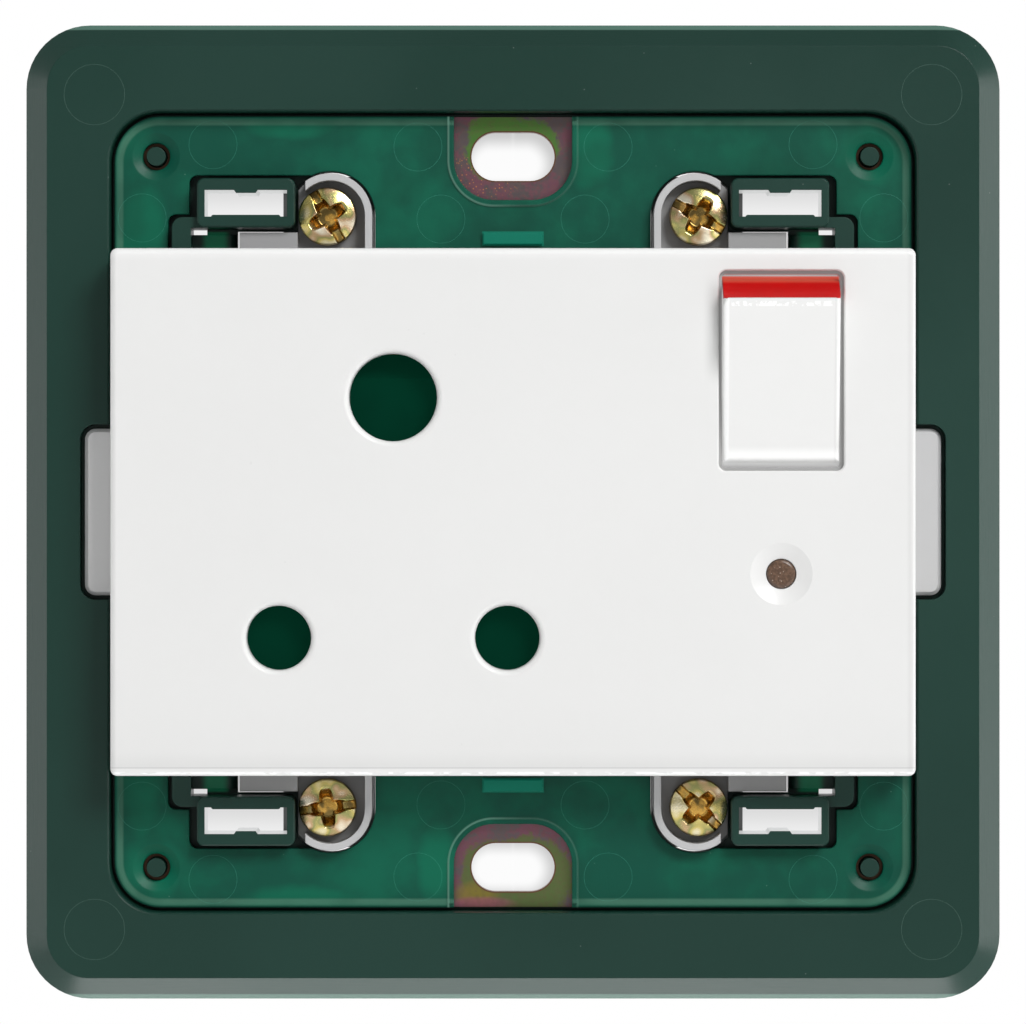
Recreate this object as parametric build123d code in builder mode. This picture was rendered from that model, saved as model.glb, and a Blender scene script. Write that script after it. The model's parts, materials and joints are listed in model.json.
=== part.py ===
from build123d import *
import os
from math import atan2, cos, degrees, radians, sin, sqrt, tan

# A round-pin switched socket module clipped into a square mounting frame.
# Sizes are millimetres. X runs right and Z up. The wall is the plane Y = 0 and the front faces -Y,
# so a height h above the wall is Y = -h, and a negative height lies inside the wall box.
# The origin is the middle of the frame on the wall, halfway between the two fixing slots.

# Mounting frame: a moulded ring with a thin floor inside it
frame_side = 82.4
frame_corner = 5.4
frame_height = 5.0
frame_bevel = 1.9
opening_width = 68.1
opening_height = 67.6
opening_corner = 4.2
floor_thickness = 1.2
floor_recess = 0.2
floor_gap = 0.3
ring_lip = 0.15
rim_wall = 1.6
rim_skin = 1.6
rim_rib = 1.0
rim_rib_pitch = 12.6
rim_rib_count = 6

# Steel strengthening plate and the insulating sheet over it
plate_gap = 0.3
body_side_room = 1.2
body_end_room = 0.5
tower_room = 0.25
steel_thickness = 1.0
steel_setback = 0.25
sheet_thickness = 1.0
slot_pitch = 60.3
slot_length = 7.06
slot_width = 4.12
slot_window_width = 10.0
slot_window_end = 26.4
slot_window_corner = 3.4
slot_lip = 0.45
slot_lip_height = 0.25
slot_relief = 0.5
sheet_rim = 0.35
sheet_tab = (5.0, 1.0, 0.4)
sheet_tab_z = 23.15
sheet_corner = 0.7
peg_radius = 0.8
peg_side_inset = 3.85
peg_end_inset = 3.7
peg_rise = 0.25
peg_gap = 0.1
sheet_peg_gap = 0.35
peg_dish_radius = 2.0
peg_dish_depth = 0.35

# Catches of the frame that take a cover plate, one in each corner, and the latch walls beside them
catch_near_x = 18.4
catch_width = 8.25
catch_near_z = 24.0
catch_depth = 4.15
catch_height = 5.2
catch_corner = 0.6
catch_bevel = 0.12
catch_side_room = 0.75
catch_end_room = 0.35
catch_side_wall = 0.65
catch_outer_wall = 1.0
catch_lip = 1.05
catch_lip_inset = 0.55
catch_lip_step = 0.15
catch_lip_corner = 0.2
catch_nib = (2.0, 0.25)
catch_nib_angle = 55.0
latch_wall = 1.6
latch_wall_reach = 24.9
latch_wall_height = 4.4
latch_corner = 0.9
latch_gap = 0.4
latch_offset = 0.55
latch_end_room = 0.3
tongue_length = 3.8
tongue_height = 2.2
tongue_round = 0.7
tongue_slit = (1.2, 0.5)

# Round-pin pattern: two current pins in a row and the earth pin above them
pin_pitch = 19.05
earth_rise = 20.05
pattern_x = -10.0
pin_row_z = -10.5
live_hole = 5.38
earth_hole = 7.32
hole_mouth = 0.5
live_bore = 5.2
earth_bore = 7.18
contact_wall = 0.6
contact_slit = 0.8
pin_clearance = 0.3
live_contact_depth = 8.0
earth_contact_depth = 12.5

# Front cover of the module
cover_side_room = 0.475
cover_height = 44.0
cover_front = 10.5
cover_face = 2.0
cover_wall = 1.3
cover_corner = 0.6
cover_edge = 0.55
cover_gap = 0.28
cover_foot_gap = 0.1
hook_width = 7.0
hook_depth = 0.7
hook_height = 0.5
hook_x = 17.0
hook_gap = 0.3
hook_play = 0.1

# Rocker switch
rocker_x = 22.35
rocker_z = 11.77
rocker_opening_width = 10.42
rocker_opening_height = 16.69
rocker_opening_corner = 0.64
rocker_opening_edge = 0.12
rocker_ledge = 0.27
rocker_ledge_depth = 0.6
rocker_opening_shelf = 2.2
rocker_gap = 0.35
rocker_pivot_height = 7.4
rocker_tilt = 8.0
rocker_face_rise = 3.9
rocker_shell = 1.2
rocker_skirt_drop = 0.4
rocker_edge = 0.45
rocker_hollow_setback = 1.0
marker_face_start = 6.63
marker_drop = 3.3
marker_thickness = 0.8
trunnion_radius = 1.0
trunnion_gap = 0.05
cradle_wall = 1.4
cradle_length = 4.4
cradle_rise = 0.9
cradle_gap = 0.15

# Two-pole mechanism under the rocker
pole_offset = 2.45
plunger_radius = 1.15
plunger_reach = 7.0
plunger_length = 5.0
plunger_tube_wall = 0.65
plunger_tube_reach = 3.4
plunger_tube_room = 0.3
plunger_gap = 0.1
plunger_tip = 0.05
plunger_spring_turns = 4
running_gap = 0.05
overcut = 1.0
blade_width = 2.8
blade_length = 12.6
blade_thickness = 0.8
blade_swing = 5.0
blade_pivot_drop = 0.2
blade_rib_radius = 0.8
bracket_head = 3.0
contact_offset = 5.2
contact_radius = 1.3
contact_button = 0.6
contact_air = 0.1
strip_thickness = 0.8
strip_width = 2.8
strip_side_gap = 0.2
strip_end_gap = 0.43
line_strip_offset = 4.2
line_jog_rise = 3.5
neutral_jog_room = 1.8
neutral_strip_base = -7.6

# Indicator
lens_z = -5.16
lens_diameter = 2.43
lens_flange = 3.9
lens_flange_length = 0.9
lens_rise = 0.3
lens_boss_wall = 0.9
dish_diameter = 5.2
dish_depth = 0.5
lamp_radius = 2.0
lamp_length = 8.0
lamp_lead_radius = 0.3
lamp_lead_spread = 1.25
lamp_lead_length = 2.0
lamp_setback = 0.1
lamp_tip = 0.1
resistor_radius = 1.1
resistor_length = 5.5

# Module housing
flange_height = 5.7
body_corner = 1.5
body_wall = 1.6
body_depth = 14.0
ear_bite = 2.11
ear_half_z = 7.04
ear_thickness = 1.3
ear_corner = 0.93
ear_chamfer = 0.3
ear_gap = 0.35
collar_wall = 1.0
collar_drop = 4.0
boss_radius = 2.4
boss_right = (13.5, -3.0)
boss_left_z = 3.0
boss_bite = 0.3

# Terminal towers and their clamps
screw_x = 15.7
screw_z = 25.0
tower_x = 15.45
tower_z = 25.05
tower_radius = 3.55
tower_side_x = 18.2
tower_wall = 0.6
tower_arc_end = 45.0
tower_floor_height = 2.2
tower_top = 4.5
tower_neck_base = -0.5
pocket_wall = 1.2
cage_width = 5.2
cage_length = 5.6
cage_height = 7.5
cage_top = -2.0
cage_gap = 0.1
cage_setback = 0.5
pocket_shelf = 0.6
pocket_roof = 0.2
tower_gap = 0.3
tower_side_gap = 0.1
shoulder_gap = 0.25
wire_bore = 4.0
wire_entry = 4.6
wire_floor = 1.0
screw_head_diameter = 4.9
screw_head_height = 1.9
screw_head_edge = 0.5
screw_shank_radius = 1.7
screw_thread_gap = 0.05
screw_clearance_radius = 2.0
screw_slot = (0.9, 0.9)
screw_cross = (3.0, 0.75)
screw_slot_turns = {(-1, 1): -60.0, (1, 1): -30.0, (-1, -1): 7.0, (1, -1): -45.0}
shoulder_reach_x = 23.1
shoulder_reach_z = 23.6
shoulder_height = 4.3

# Rear cover and its screws
rear_thickness = 2.0
rear_rim = 1.2
rear_rim_height = 1.2
rear_fit = 0.1
rear_edge = 0.5
rear_screw_radius = 1.25
rear_screw_length = 9.0
rear_head_radius = 2.4
rear_head_depth = 1.5
rear_screw_fit = 0.02
clamp_post_margin = 0.3
clamp_post_setback = 0.5

# Shutter and its return spring
shutter_thickness = 2.0
shutter_play = 0.4
shutter_travel = 7.3
shutter_margin = 0.1
shutter_side_cover = 0.8
stem_slot_width = 3.6
stem_slot_base = -6.6
stem_slot_top = 4.8
ramp_angle = 40.0
guide_wall = 1.2
guide_gap = 0.2
guide_inset = 0.2
guide_lift = 1.6
ramp_toe = 0.3
spring_peg_thickness = 1.0
spring_radius = 0.85
spring_wire = 0.16
spring_turns = 8

# Heights that follow from the stack of pieces
steel_base = floor_thickness
sheet_base = steel_base + steel_thickness
sheet_top = sheet_base + sheet_thickness
flange_base = sheet_top
ear_top = flange_base + ear_thickness
cover_inside = cover_front - cover_face
cover_base = ear_top + cover_foot_gap
shutter_base = flange_height + shutter_play
rear_inner = -body_depth
cage_base = cage_top - cage_height
tail_base = cage_base - strip_thickness
wire_height = cage_base + wire_bore / 2 + wire_floor
blade_pivot_height = rocker_pivot_height - plunger_reach - plunger_gap - blade_thickness
contact_dip = (contact_offset + contact_radius) * sin(radians(blade_swing)) + contact_button
fixed_strip_top = blade_pivot_height - contact_dip - contact_air - contact_button

# Sizes and places that follow from the opening of the frame
peg_x = opening_width / 2 - peg_side_inset
peg_z = opening_height / 2 - peg_end_inset
cover_width = opening_width - 2 * cover_side_room
ear_reach = opening_width / 2 + ear_bite

# Places that follow from the pin pattern
neutral_x = pattern_x - pin_pitch / 2
line_x = pattern_x + pin_pitch / 2
earth_x = pattern_x
earth_z = pin_row_z + earth_rise
live_places = ((neutral_x, pin_row_z), (line_x, pin_row_z))
contact_places = (
    (live_places[0], live_bore, live_contact_depth),
    (live_places[1], live_bore, live_contact_depth),
    ((earth_x, earth_z), earth_bore, earth_contact_depth),
)

# The poles of the switch, and the housing that closes round their strips
line_pole_x = rocker_x - pole_offset
neutral_pole_x = rocker_x + pole_offset
fixed_contact_z = rocker_z + contact_offset
body_half_x = neutral_pole_x + strip_width / 2 + strip_side_gap + body_wall
body_half_z = fixed_contact_z + strip_width / 2 + strip_end_gap + body_wall
boss_left = (-(body_half_x - body_wall - boss_radius + boss_bite), boss_left_z)
boss_places = (boss_right, boss_left)
line_jog_z = rocker_z + line_jog_rise
neutral_jog_z = -(body_half_z - body_wall - strip_width / 2 - neutral_jog_room)

# Catches, latch walls, clamps and towers
catch_far_x = catch_near_x + catch_width
latch_near_x = catch_far_x + latch_offset
latch_far_x = latch_near_x + latch_wall
clamp_z = screw_z - cage_setback
terminal_names = {(-1, 1): "earth", (1, 1): "line", (-1, -1): "spare_earth", (1, -1): "neutral"}

corners = [(side, end) for side in (-1, 1) for end in (-1, 1)]


def front(height):
    """Sketch plane parallel to the wall, X right and Z up, at a height above the wall."""
    return Plane.XZ.offset(height)


def side_plane(x):
    """Sketch plane square to X: its first axis is Z and its second is the height above the wall."""
    return Plane(origin=(x, 0, 0), x_dir=(0, 0, 1), z_dir=(1, 0, 0))


def slab(near, far, corner=(1, 1), mode=Mode.ADD):
    """Rectangle from the near to the far point, mirrored into one corner of the view."""
    side, end = corner
    with Locations((side * (near[0] + far[0]) / 2, end * (near[1] + far[1]) / 2)):
        Rectangle(abs(far[0] - near[0]), abs(far[1] - near[1]), mode=mode)


def disc(place, radius, corner=(1, 1), mode=Mode.ADD):
    """Circle at a place, mirrored into one corner of the view."""
    with Locations((corner[0] * place[0], corner[1] * place[1])):
        Circle(radius, mode=mode)


def module_cutout(extra, mode=Mode.SUBTRACT):
    """Opening in the sheet or the steel for the housing, its towers and the catches."""
    step_x = catch_far_x + catch_side_room + extra
    step_z = catch_near_z + catch_depth + catch_end_room + extra
    wide_x = latch_far_x + latch_gap + extra
    wide_z = latch_wall_reach + latch_end_room + extra
    body_x = body_half_x + body_side_room + extra
    body_z = body_half_z + body_end_room + extra
    arc_radius = tower_radius + tower_room + extra
    slab((-body_x, -body_z), (body_x, body_z), mode=mode)
    for corner in corners:
        side, end = corner
        disc((tower_x, tower_z), arc_radius, corner, mode)
        slab((tower_x - arc_radius, 0), (tower_x, tower_z), corner, mode)
        with Locations((side * (tower_x + step_x) / 2, 0)):
            RectangleRounded(step_x - tower_x, 2 * step_z, sheet_corner, mode=mode)
        with Locations((side * (tower_x + wide_x) / 2, 0)):
            RectangleRounded(wide_x - tower_x, 2 * wide_z, sheet_corner, mode=mode)


def tower_plan(radius, side_x, corner, mode=Mode.ADD):
    """Plan of a terminal tower: a round outer end, cut straight beside the catch."""
    slab((tower_x - radius, 0), (side_x, tower_z), corner, mode)
    disc((tower_x, tower_z), radius, corner, mode)
    slab((side_x, 0), (side_x + radius, tower_z + radius), corner, Mode.SUBTRACT)


def base_plan(x_half, z_half, corner_radius, extra=0.0):
    """Plan of the housing behind the wall: a rounded box with four tower feet."""
    RectangleRounded(2 * (x_half + extra), 2 * (z_half + extra), corner_radius)
    near_x = screw_x - cage_width / 2 - cage_gap - pocket_wall
    far_x = screw_x + cage_width / 2 + cage_gap + pocket_wall
    far_z = tower_z + tower_radius
    for corner in corners:
        slab((near_x - extra, 0), (far_x + extra, far_z + extra), corner)


def make_mounting_frame():
    """Ring, floor, catches, latch walls and pegs, one green moulding."""
    window_near_x = catch_near_x + catch_side_wall
    window_far_x = catch_near_x + catch_width - catch_side_wall
    window_near_z = catch_near_z + catch_lip
    window_far_z = catch_near_z + catch_depth - catch_outer_wall
    window_mid_x = (window_near_x + window_far_x) / 2
    lip_width = window_far_x - window_near_x - 2 * catch_lip_inset
    tongue_far_x = latch_near_x - tongue_length
    latch_base_z = body_half_z + floor_gap
    with BuildPart() as mounting_frame:
        with BuildSketch(front(0)):
            RectangleRounded(frame_side, frame_side, frame_corner)
        extrude(amount=frame_height)
        chamfer(mounting_frame.faces().sort_by(Axis.Y)[0].edges(), frame_bevel)
        with BuildSketch(front(floor_thickness)):
            RectangleRounded(opening_width, opening_height, opening_corner)
        extrude(amount=frame_height, mode=Mode.SUBTRACT)
        chamfer(mounting_frame.faces().sort_by(Axis.Y)[0].inner_wires()[0].edges(), ring_lip)
        # notches that the ears of the module drop into
        with BuildSketch(front(flange_base)):
            RectangleRounded(2 * (ear_reach + ear_gap), 2 * (ear_half_z + ear_gap), ear_corner + ear_gap)
        extrude(amount=frame_height, mode=Mode.SUBTRACT)
        # hollow back of the ring, with ribs across it and solid seats behind the ears
        with BuildSketch(front(0)):
            RectangleRounded(frame_side - 2 * rim_wall, frame_side - 2 * rim_wall, frame_corner - rim_wall)
            RectangleRounded(
                opening_width + 2 * rim_wall,
                opening_height + 2 * rim_wall,
                opening_corner + rim_wall,
                mode=Mode.SUBTRACT,
            )
            Rectangle(frame_side, 2 * (ear_half_z + ear_gap + rim_wall), mode=Mode.SUBTRACT)
            with GridLocations(rim_rib_pitch, 0, rim_rib_count, 1):
                Rectangle(rim_rib, frame_side, mode=Mode.SUBTRACT)
            with GridLocations(0, rim_rib_pitch, 1, rim_rib_count):
                Rectangle(frame_side, rim_rib, mode=Mode.SUBTRACT)
        extrude(amount=frame_height - rim_skin, mode=Mode.SUBTRACT)
        # floor openings for the housing, its towers and its shoulders, and behind the fixing slots
        with BuildSketch(front(0)):
            Rectangle(2 * (body_half_x + floor_gap), 2 * (body_half_z + floor_gap))
            for corner in corners:
                tower_plan(tower_radius + tower_gap, tower_side_x + tower_side_gap, corner)
                slab((tower_x, 0), (shoulder_reach_x + tower_gap, shoulder_reach_z + shoulder_gap), corner)
            for end in (-1, 1):
                with Locations((0, end * slot_pitch / 2)):
                    SlotOverall(slot_length + 2 * slot_relief, slot_width + 2 * slot_relief)
        extrude(amount=floor_thickness, mode=Mode.SUBTRACT)
        # catches and latch walls stand on the floor
        for corner in corners:
            side, end = corner
            with BuildSketch(front(0)):
                with Locations(
                    (side * (catch_near_x + catch_width / 2), end * (catch_near_z + catch_depth / 2))
                ):
                    RectangleRounded(catch_width, catch_depth, catch_corner)
            extrude(amount=catch_height)
            catch_top = mounting_frame.faces().filter_by(
                lambda face: abs(face.center().Y + catch_height) < 0.01
                and face.center().X * side > 0
                and face.center().Z * end > 0
            )
            chamfer(catch_top.edges(), catch_bevel)
            with BuildSketch(front(0)):
                slab((latch_near_x, latch_base_z), (latch_far_x, latch_wall_reach), corner)
                slab((catch_far_x - catch_corner, catch_near_z), (latch_far_x, latch_wall_reach), corner)
            extrude(amount=latch_wall_height)
            wall_corner = mounting_frame.edges().filter_by(Axis.Y).filter_by(
                lambda edge: abs(edge.center().X - side * latch_far_x) < 0.01
                and abs(edge.center().Z - end * latch_wall_reach) < 0.01
            )
            fillet(wall_corner, latch_corner)
            with BuildSketch(front(0)):
                slab((tongue_far_x, latch_base_z), (latch_near_x, catch_near_z - tongue_slit[1]), corner)
            extrude(amount=tongue_height)
            tongue_end = mounting_frame.edges().filter_by(
                lambda edge: abs(edge.center().Y + tongue_height) < 0.01
                and abs(edge.center().X - side * tongue_far_x) < 0.01
                and edge.center().Z * end > latch_base_z
            )
            fillet(tongue_end, tongue_round)
        # see-through windows of the catches, each with a nib and a stepped lip, and slits beside them
        for corner in corners:
            side, end = corner
            with BuildSketch(front(0)):
                slab((window_near_x, window_near_z - catch_lip_step), (window_far_x, window_far_z), corner)
                with Locations((side * window_mid_x, end * (window_near_z - catch_lip))):
                    RectangleRounded(lip_width, 2 * catch_lip, catch_lip_corner, mode=Mode.SUBTRACT)
                nib_place = (side * window_mid_x, end * (window_far_z - catch_nib[1] / 2), 0)
                with Locations(Location(nib_place, (0, 0, 90 + 90 * end))):
                    Trapezoid(catch_nib[0], catch_nib[1], catch_nib_angle, mode=Mode.SUBTRACT)
                slab(
                    (latch_near_x - tongue_slit[0], catch_near_z - tongue_slit[1]),
                    (latch_near_x, catch_near_z),
                    corner,
                )
            extrude(amount=catch_height, mode=Mode.SUBTRACT)
        # pegs that locate the steel plate and the sheet
        with BuildSketch(front(0)):
            with GridLocations(2 * peg_x, 2 * peg_z, 2, 2):
                Circle(peg_radius)
        extrude(amount=sheet_top + peg_rise)
        # the floor stays clear of the wall, so the frame bears on its ring
        with BuildSketch(front(0)):
            RectangleRounded(opening_width, opening_height, opening_corner)
        extrude(amount=floor_recess, mode=Mode.SUBTRACT)
    mounting_frame.part.label = "mounting_frame"
    export_step(mounting_frame.part, "parts/mounting_frame.step")


def make_steel_plate():
    """Plated steel stiffener that the box screws bear on."""
    with BuildPart() as steel_plate:
        with BuildSketch(front(steel_base)):
            RectangleRounded(
                opening_width - 2 * plate_gap, opening_height - 2 * plate_gap, opening_corner - plate_gap
            )
            module_cutout(steel_setback)
            with GridLocations(0, slot_pitch, 1, 2):
                SlotOverall(slot_length, slot_width, mode=Mode.SUBTRACT)
            with GridLocations(2 * peg_x, 2 * peg_z, 2, 2):
                Circle(peg_radius + peg_gap, mode=Mode.SUBTRACT)
        extrude(amount=steel_thickness)
    steel_plate.part.label = "steel_plate"
    export_step(steel_plate.part, "parts/steel_plate.step")


def make_insulating_sheet():
    """Green sheet over the steel, open at the two fixing slots."""
    width = opening_width - 2 * plate_gap
    height = opening_height - 2 * plate_gap
    window_height = height - 2 * slot_window_end
    hole_radius = peg_radius + sheet_peg_gap
    with BuildPart() as insulating_sheet:
        with BuildSketch(front(sheet_base)):
            RectangleRounded(width, height, opening_corner - plate_gap)
        extrude(amount=sheet_thickness)
        fillet(insulating_sheet.faces().sort_by(Axis.Y)[0].edges(), sheet_rim)
        with BuildSketch(front(sheet_base)):
            module_cutout(0, Mode.ADD)
            with GridLocations(0, height, 1, 2):
                RectangleRounded(slot_window_width, window_height, slot_window_corner)
            with GridLocations(2 * peg_x, 2 * peg_z, 2, 2):
                Circle(hole_radius)
        extrude(amount=sheet_thickness, mode=Mode.SUBTRACT)
        # a shallow dish round each peg
        with BuildSketch(front(sheet_top)):
            with GridLocations(2 * peg_x, 2 * peg_z, 2, 2):
                Circle(peg_dish_radius)
        dish_taper = degrees(atan2(peg_dish_radius - hole_radius, peg_dish_depth))
        extrude(amount=-peg_dish_depth, taper=dish_taper, mode=Mode.SUBTRACT)
        # a low lip round each window, trimmed by the edge of the sheet
        with BuildSketch(front(sheet_top)):
            with GridLocations(0, height, 1, 2):
                RectangleRounded(
                    slot_window_width + 2 * slot_lip, window_height + 2 * slot_lip, slot_window_corner + slot_lip
                )
                RectangleRounded(slot_window_width, window_height, slot_window_corner, mode=Mode.SUBTRACT)
            Rectangle(width - 2 * sheet_rim, height - 2 * sheet_rim, mode=Mode.INTERSECT)
        extrude(amount=slot_lip_height)
        with BuildSketch(front(sheet_top)):
            with GridLocations(0, 2 * sheet_tab_z, 1, 2):
                Rectangle(sheet_tab[0], sheet_tab[1])
        extrude(amount=sheet_tab[2])
    insulating_sheet.part.label = "insulating_sheet"
    export_step(insulating_sheet.part, "parts/insulating_sheet.step")


def make_front_cover():
    """White cover: a tray with pin holes, rocker opening, lens dish and four hooks."""
    inner_width = cover_width - 2 * cover_wall
    inner_height = cover_height - 2 * cover_wall
    with BuildPart() as front_cover:
        with BuildSketch(front(cover_base)):
            RectangleRounded(cover_width, cover_height, cover_corner)
        extrude(amount=cover_front - cover_base)
        fillet(front_cover.faces().sort_by(Axis.Y)[0].edges(), cover_edge)
        with BuildSketch(front(cover_base)):
            Rectangle(inner_width, inner_height)
        extrude(amount=cover_inside - cover_base, mode=Mode.SUBTRACT)
        with BuildSketch(front(cover_inside)):
            for place in live_places:
                disc(place, live_hole / 2)
            disc((earth_x, earth_z), earth_hole / 2)
        extrude(amount=cover_face, mode=Mode.SUBTRACT)
        mouths = front_cover.faces().sort_by(Axis.Y)[0].edges().filter_by(GeomType.CIRCLE)
        fillet(mouths.filter_by(lambda edge: edge.length > 3.0 * live_hole), hole_mouth)
        # the rocker opening narrows to a ledge a little below the face
        with BuildSketch(front(cover_front - rocker_ledge_depth)):
            with Locations((rocker_x, rocker_z)):
                RectangleRounded(rocker_opening_width, rocker_opening_height, rocker_opening_corner)
        extrude(amount=rocker_ledge_depth, mode=Mode.SUBTRACT)
        with BuildSketch(front(cover_inside)):
            with Locations((rocker_x, rocker_z)):
                RectangleRounded(
                    rocker_opening_width - 2 * rocker_ledge,
                    rocker_opening_height - 2 * rocker_ledge,
                    rocker_opening_corner - rocker_ledge,
                )
        extrude(amount=cover_face, mode=Mode.SUBTRACT)
        opening_rim = front_cover.faces().sort_by(Axis.Y)[0].edges().filter_by(
            lambda edge: abs(edge.center().X - rocker_x) < rocker_opening_width / 2 + 0.01
            and abs(edge.center().Z - rocker_z) < rocker_opening_height / 2 + 0.01
        )
        chamfer(opening_rim, rocker_opening_edge)
        # boss behind the face that carries the lens
        with BuildSketch(front(cover_inside - lens_flange_length)):
            disc((rocker_x, lens_z), lens_flange / 2 + lens_boss_wall)
        extrude(amount=lens_flange_length)
        with BuildSketch(front(cover_inside - lens_flange_length)):
            disc((rocker_x, lens_z), lens_flange / 2 + running_gap)
        extrude(amount=lens_flange_length, mode=Mode.SUBTRACT)
        with BuildSketch(front(cover_inside)):
            disc((rocker_x, lens_z), lens_diameter / 2 + running_gap)
        extrude(amount=cover_face, mode=Mode.SUBTRACT)
        # shallow round dish: the cap of a large ball whose middle stands in front of the face
        ball_radius = (dish_diameter**2 / 4 + dish_depth**2) / (2 * dish_depth)
        with Locations((rocker_x, -(cover_front - dish_depth + ball_radius), lens_z)):
            Sphere(ball_radius, mode=Mode.SUBTRACT)
        # hooks inside the long walls grip under the flange of the housing
        for side in (-1, 1):
            for end in (-1, 1):
                with BuildSketch(front(cover_base)):
                    slab(
                        (hook_x - hook_width / 2, inner_height / 2 - hook_depth),
                        (hook_x + hook_width / 2, inner_height / 2 + cover_wall / 2),
                        (side, end),
                    )
                extrude(amount=hook_height)
    front_cover.part.label = "front_cover"
    export_step(front_cover.part, "parts/front_cover.step")


def make_main_housing():
    """Grey housing: flange, ears, hollow body, collars for the contacts and four terminal towers."""
    flange_x = cover_width / 2 - cover_wall - cover_gap
    flange_z = cover_height / 2 - cover_wall - cover_gap
    pocket_near_x = screw_x - cage_width / 2 - cage_gap
    pocket_far_x = screw_x + cage_width / 2 + cage_gap
    pocket_far_z = clamp_z + cage_length / 2 + cage_gap
    pocket_near_z = clamp_z - cage_length / 2 - cage_gap
    opening_x = pole_offset + plunger_radius + running_gap + plunger_tube_wall + plunger_tube_room
    opening_z = rocker_opening_height / 2 - rocker_opening_shelf
    with BuildPart() as main_housing:
        with BuildSketch(front(rear_inner)):
            base_plan(body_half_x, body_half_z, body_corner)
        extrude(amount=body_depth + tower_neck_base)
        with BuildSketch(front(tower_neck_base)):
            RectangleRounded(2 * body_half_x, 2 * body_half_z, body_corner)
        extrude(amount=flange_base - tower_neck_base)
        with BuildSketch(front(flange_base)):
            Rectangle(2 * flange_x, 2 * flange_z)
        extrude(amount=flange_height - flange_base)
        # ears with bevelled fronts
        with BuildSketch(front(flange_base)):
            RectangleRounded(2 * ear_reach, 2 * ear_half_z, ear_corner)
        extrude(amount=ear_thickness)
        ear_front = main_housing.faces().filter_by(Axis.Y).filter_by(
            lambda face: abs(face.center().Y + ear_top) < 0.01 and face.area < 2 * ear_half_z * ear_reach
        )
        chamfer(
            ear_front.edges().filter_by(lambda edge: abs(edge.center().X) > flange_x + 0.1), ear_chamfer
        )
        # hollow inside, open at the back
        with BuildSketch(front(rear_inner)):
            Rectangle(2 * (body_half_x - body_wall), 2 * (body_half_z - body_wall))
        extrude(amount=body_depth + flange_base, mode=Mode.SUBTRACT)
        for corner in corners:
            # neck of the tower, with the recessed floor under the screw head
            with BuildSketch(front(tower_neck_base)):
                tower_plan(tower_radius, tower_side_x, corner)
                slab((0, 0), (tower_side_x, body_half_z - body_wall), corner, Mode.SUBTRACT)
            extrude(amount=tower_floor_height - tower_neck_base)
            with BuildSketch(front(tower_floor_height)):
                tower_plan(tower_radius, tower_side_x, corner)
                tower_plan(tower_radius - tower_wall, tower_side_x, corner, Mode.SUBTRACT)
                arc_side = (tower_x + (tower_radius - tower_wall) * sin(radians(tower_arc_end)), 0)
                slab(arc_side, (tower_side_x + overcut, tower_z + tower_radius), corner, Mode.SUBTRACT)
                slab((0, 0), (tower_side_x, body_half_z), corner, Mode.SUBTRACT)
            extrude(amount=tower_top - tower_floor_height)
            with BuildSketch(front(tower_neck_base)):
                slab((tower_side_x, body_half_z - body_wall), (shoulder_reach_x, shoulder_reach_z), corner)
            extrude(amount=shoulder_height - tower_neck_base)
            # pocket for the clamp, open at the back, with a wire entry and a way in for the strip
            with BuildSketch(front(rear_inner)):
                slab((pocket_near_x, pocket_near_z), (pocket_far_x, pocket_far_z), corner)
            extrude(amount=cage_top + cage_gap - rear_inner, mode=Mode.SUBTRACT)
            with BuildSketch(front(rear_inner)):
                slab(
                    (pocket_near_x + pocket_shelf, body_half_z - body_wall),
                    (pocket_far_x - pocket_shelf, pocket_far_z),
                    corner,
                )
            extrude(amount=cage_base + pocket_roof - rear_inner, mode=Mode.SUBTRACT)
            with BuildSketch(Plane.XY.offset(corner[1] * pocket_far_z)):
                with Locations((corner[0] * screw_x, -wire_height)):
                    Rectangle(wire_entry, wire_entry)
            extrude(amount=corner[1] * 2 * pocket_wall, mode=Mode.SUBTRACT)
            with BuildSketch(front(cage_top)):
                disc((screw_x, screw_z), screw_clearance_radius, corner)
            extrude(amount=tower_floor_height - cage_top, mode=Mode.SUBTRACT)
        # collars round the pin holes hold the contacts
        for (place, bore, depth), hole in zip(contact_places, (live_hole, live_hole, earth_hole)):
            seat = bore / 2 + contact_wall + running_gap
            with BuildSketch(front(flange_base - collar_drop)):
                disc(place, seat + collar_wall)
                disc(place, seat, mode=Mode.SUBTRACT)
            extrude(amount=collar_drop)
            with BuildSketch(front(flange_base)):
                disc(place, hole / 2 + pin_clearance)
            extrude(amount=flange_height - flange_base, mode=Mode.SUBTRACT)
        # pillars for the rear screws
        for place in boss_places:
            with BuildSketch(front(rear_inner)):
                disc(place, boss_radius)
                disc(place, rear_screw_radius + rear_screw_fit, mode=Mode.SUBTRACT)
            extrude(amount=body_depth + flange_base)
        # openings in the flange for the rocker's plungers and the lamp
        with BuildSketch(front(flange_base)):
            with Locations((rocker_x, rocker_z)):
                Rectangle(2 * opening_x, 2 * opening_z)
            disc((rocker_x, lens_z), lamp_radius + running_gap)
        extrude(amount=flange_height - flange_base, mode=Mode.SUBTRACT)
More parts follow.
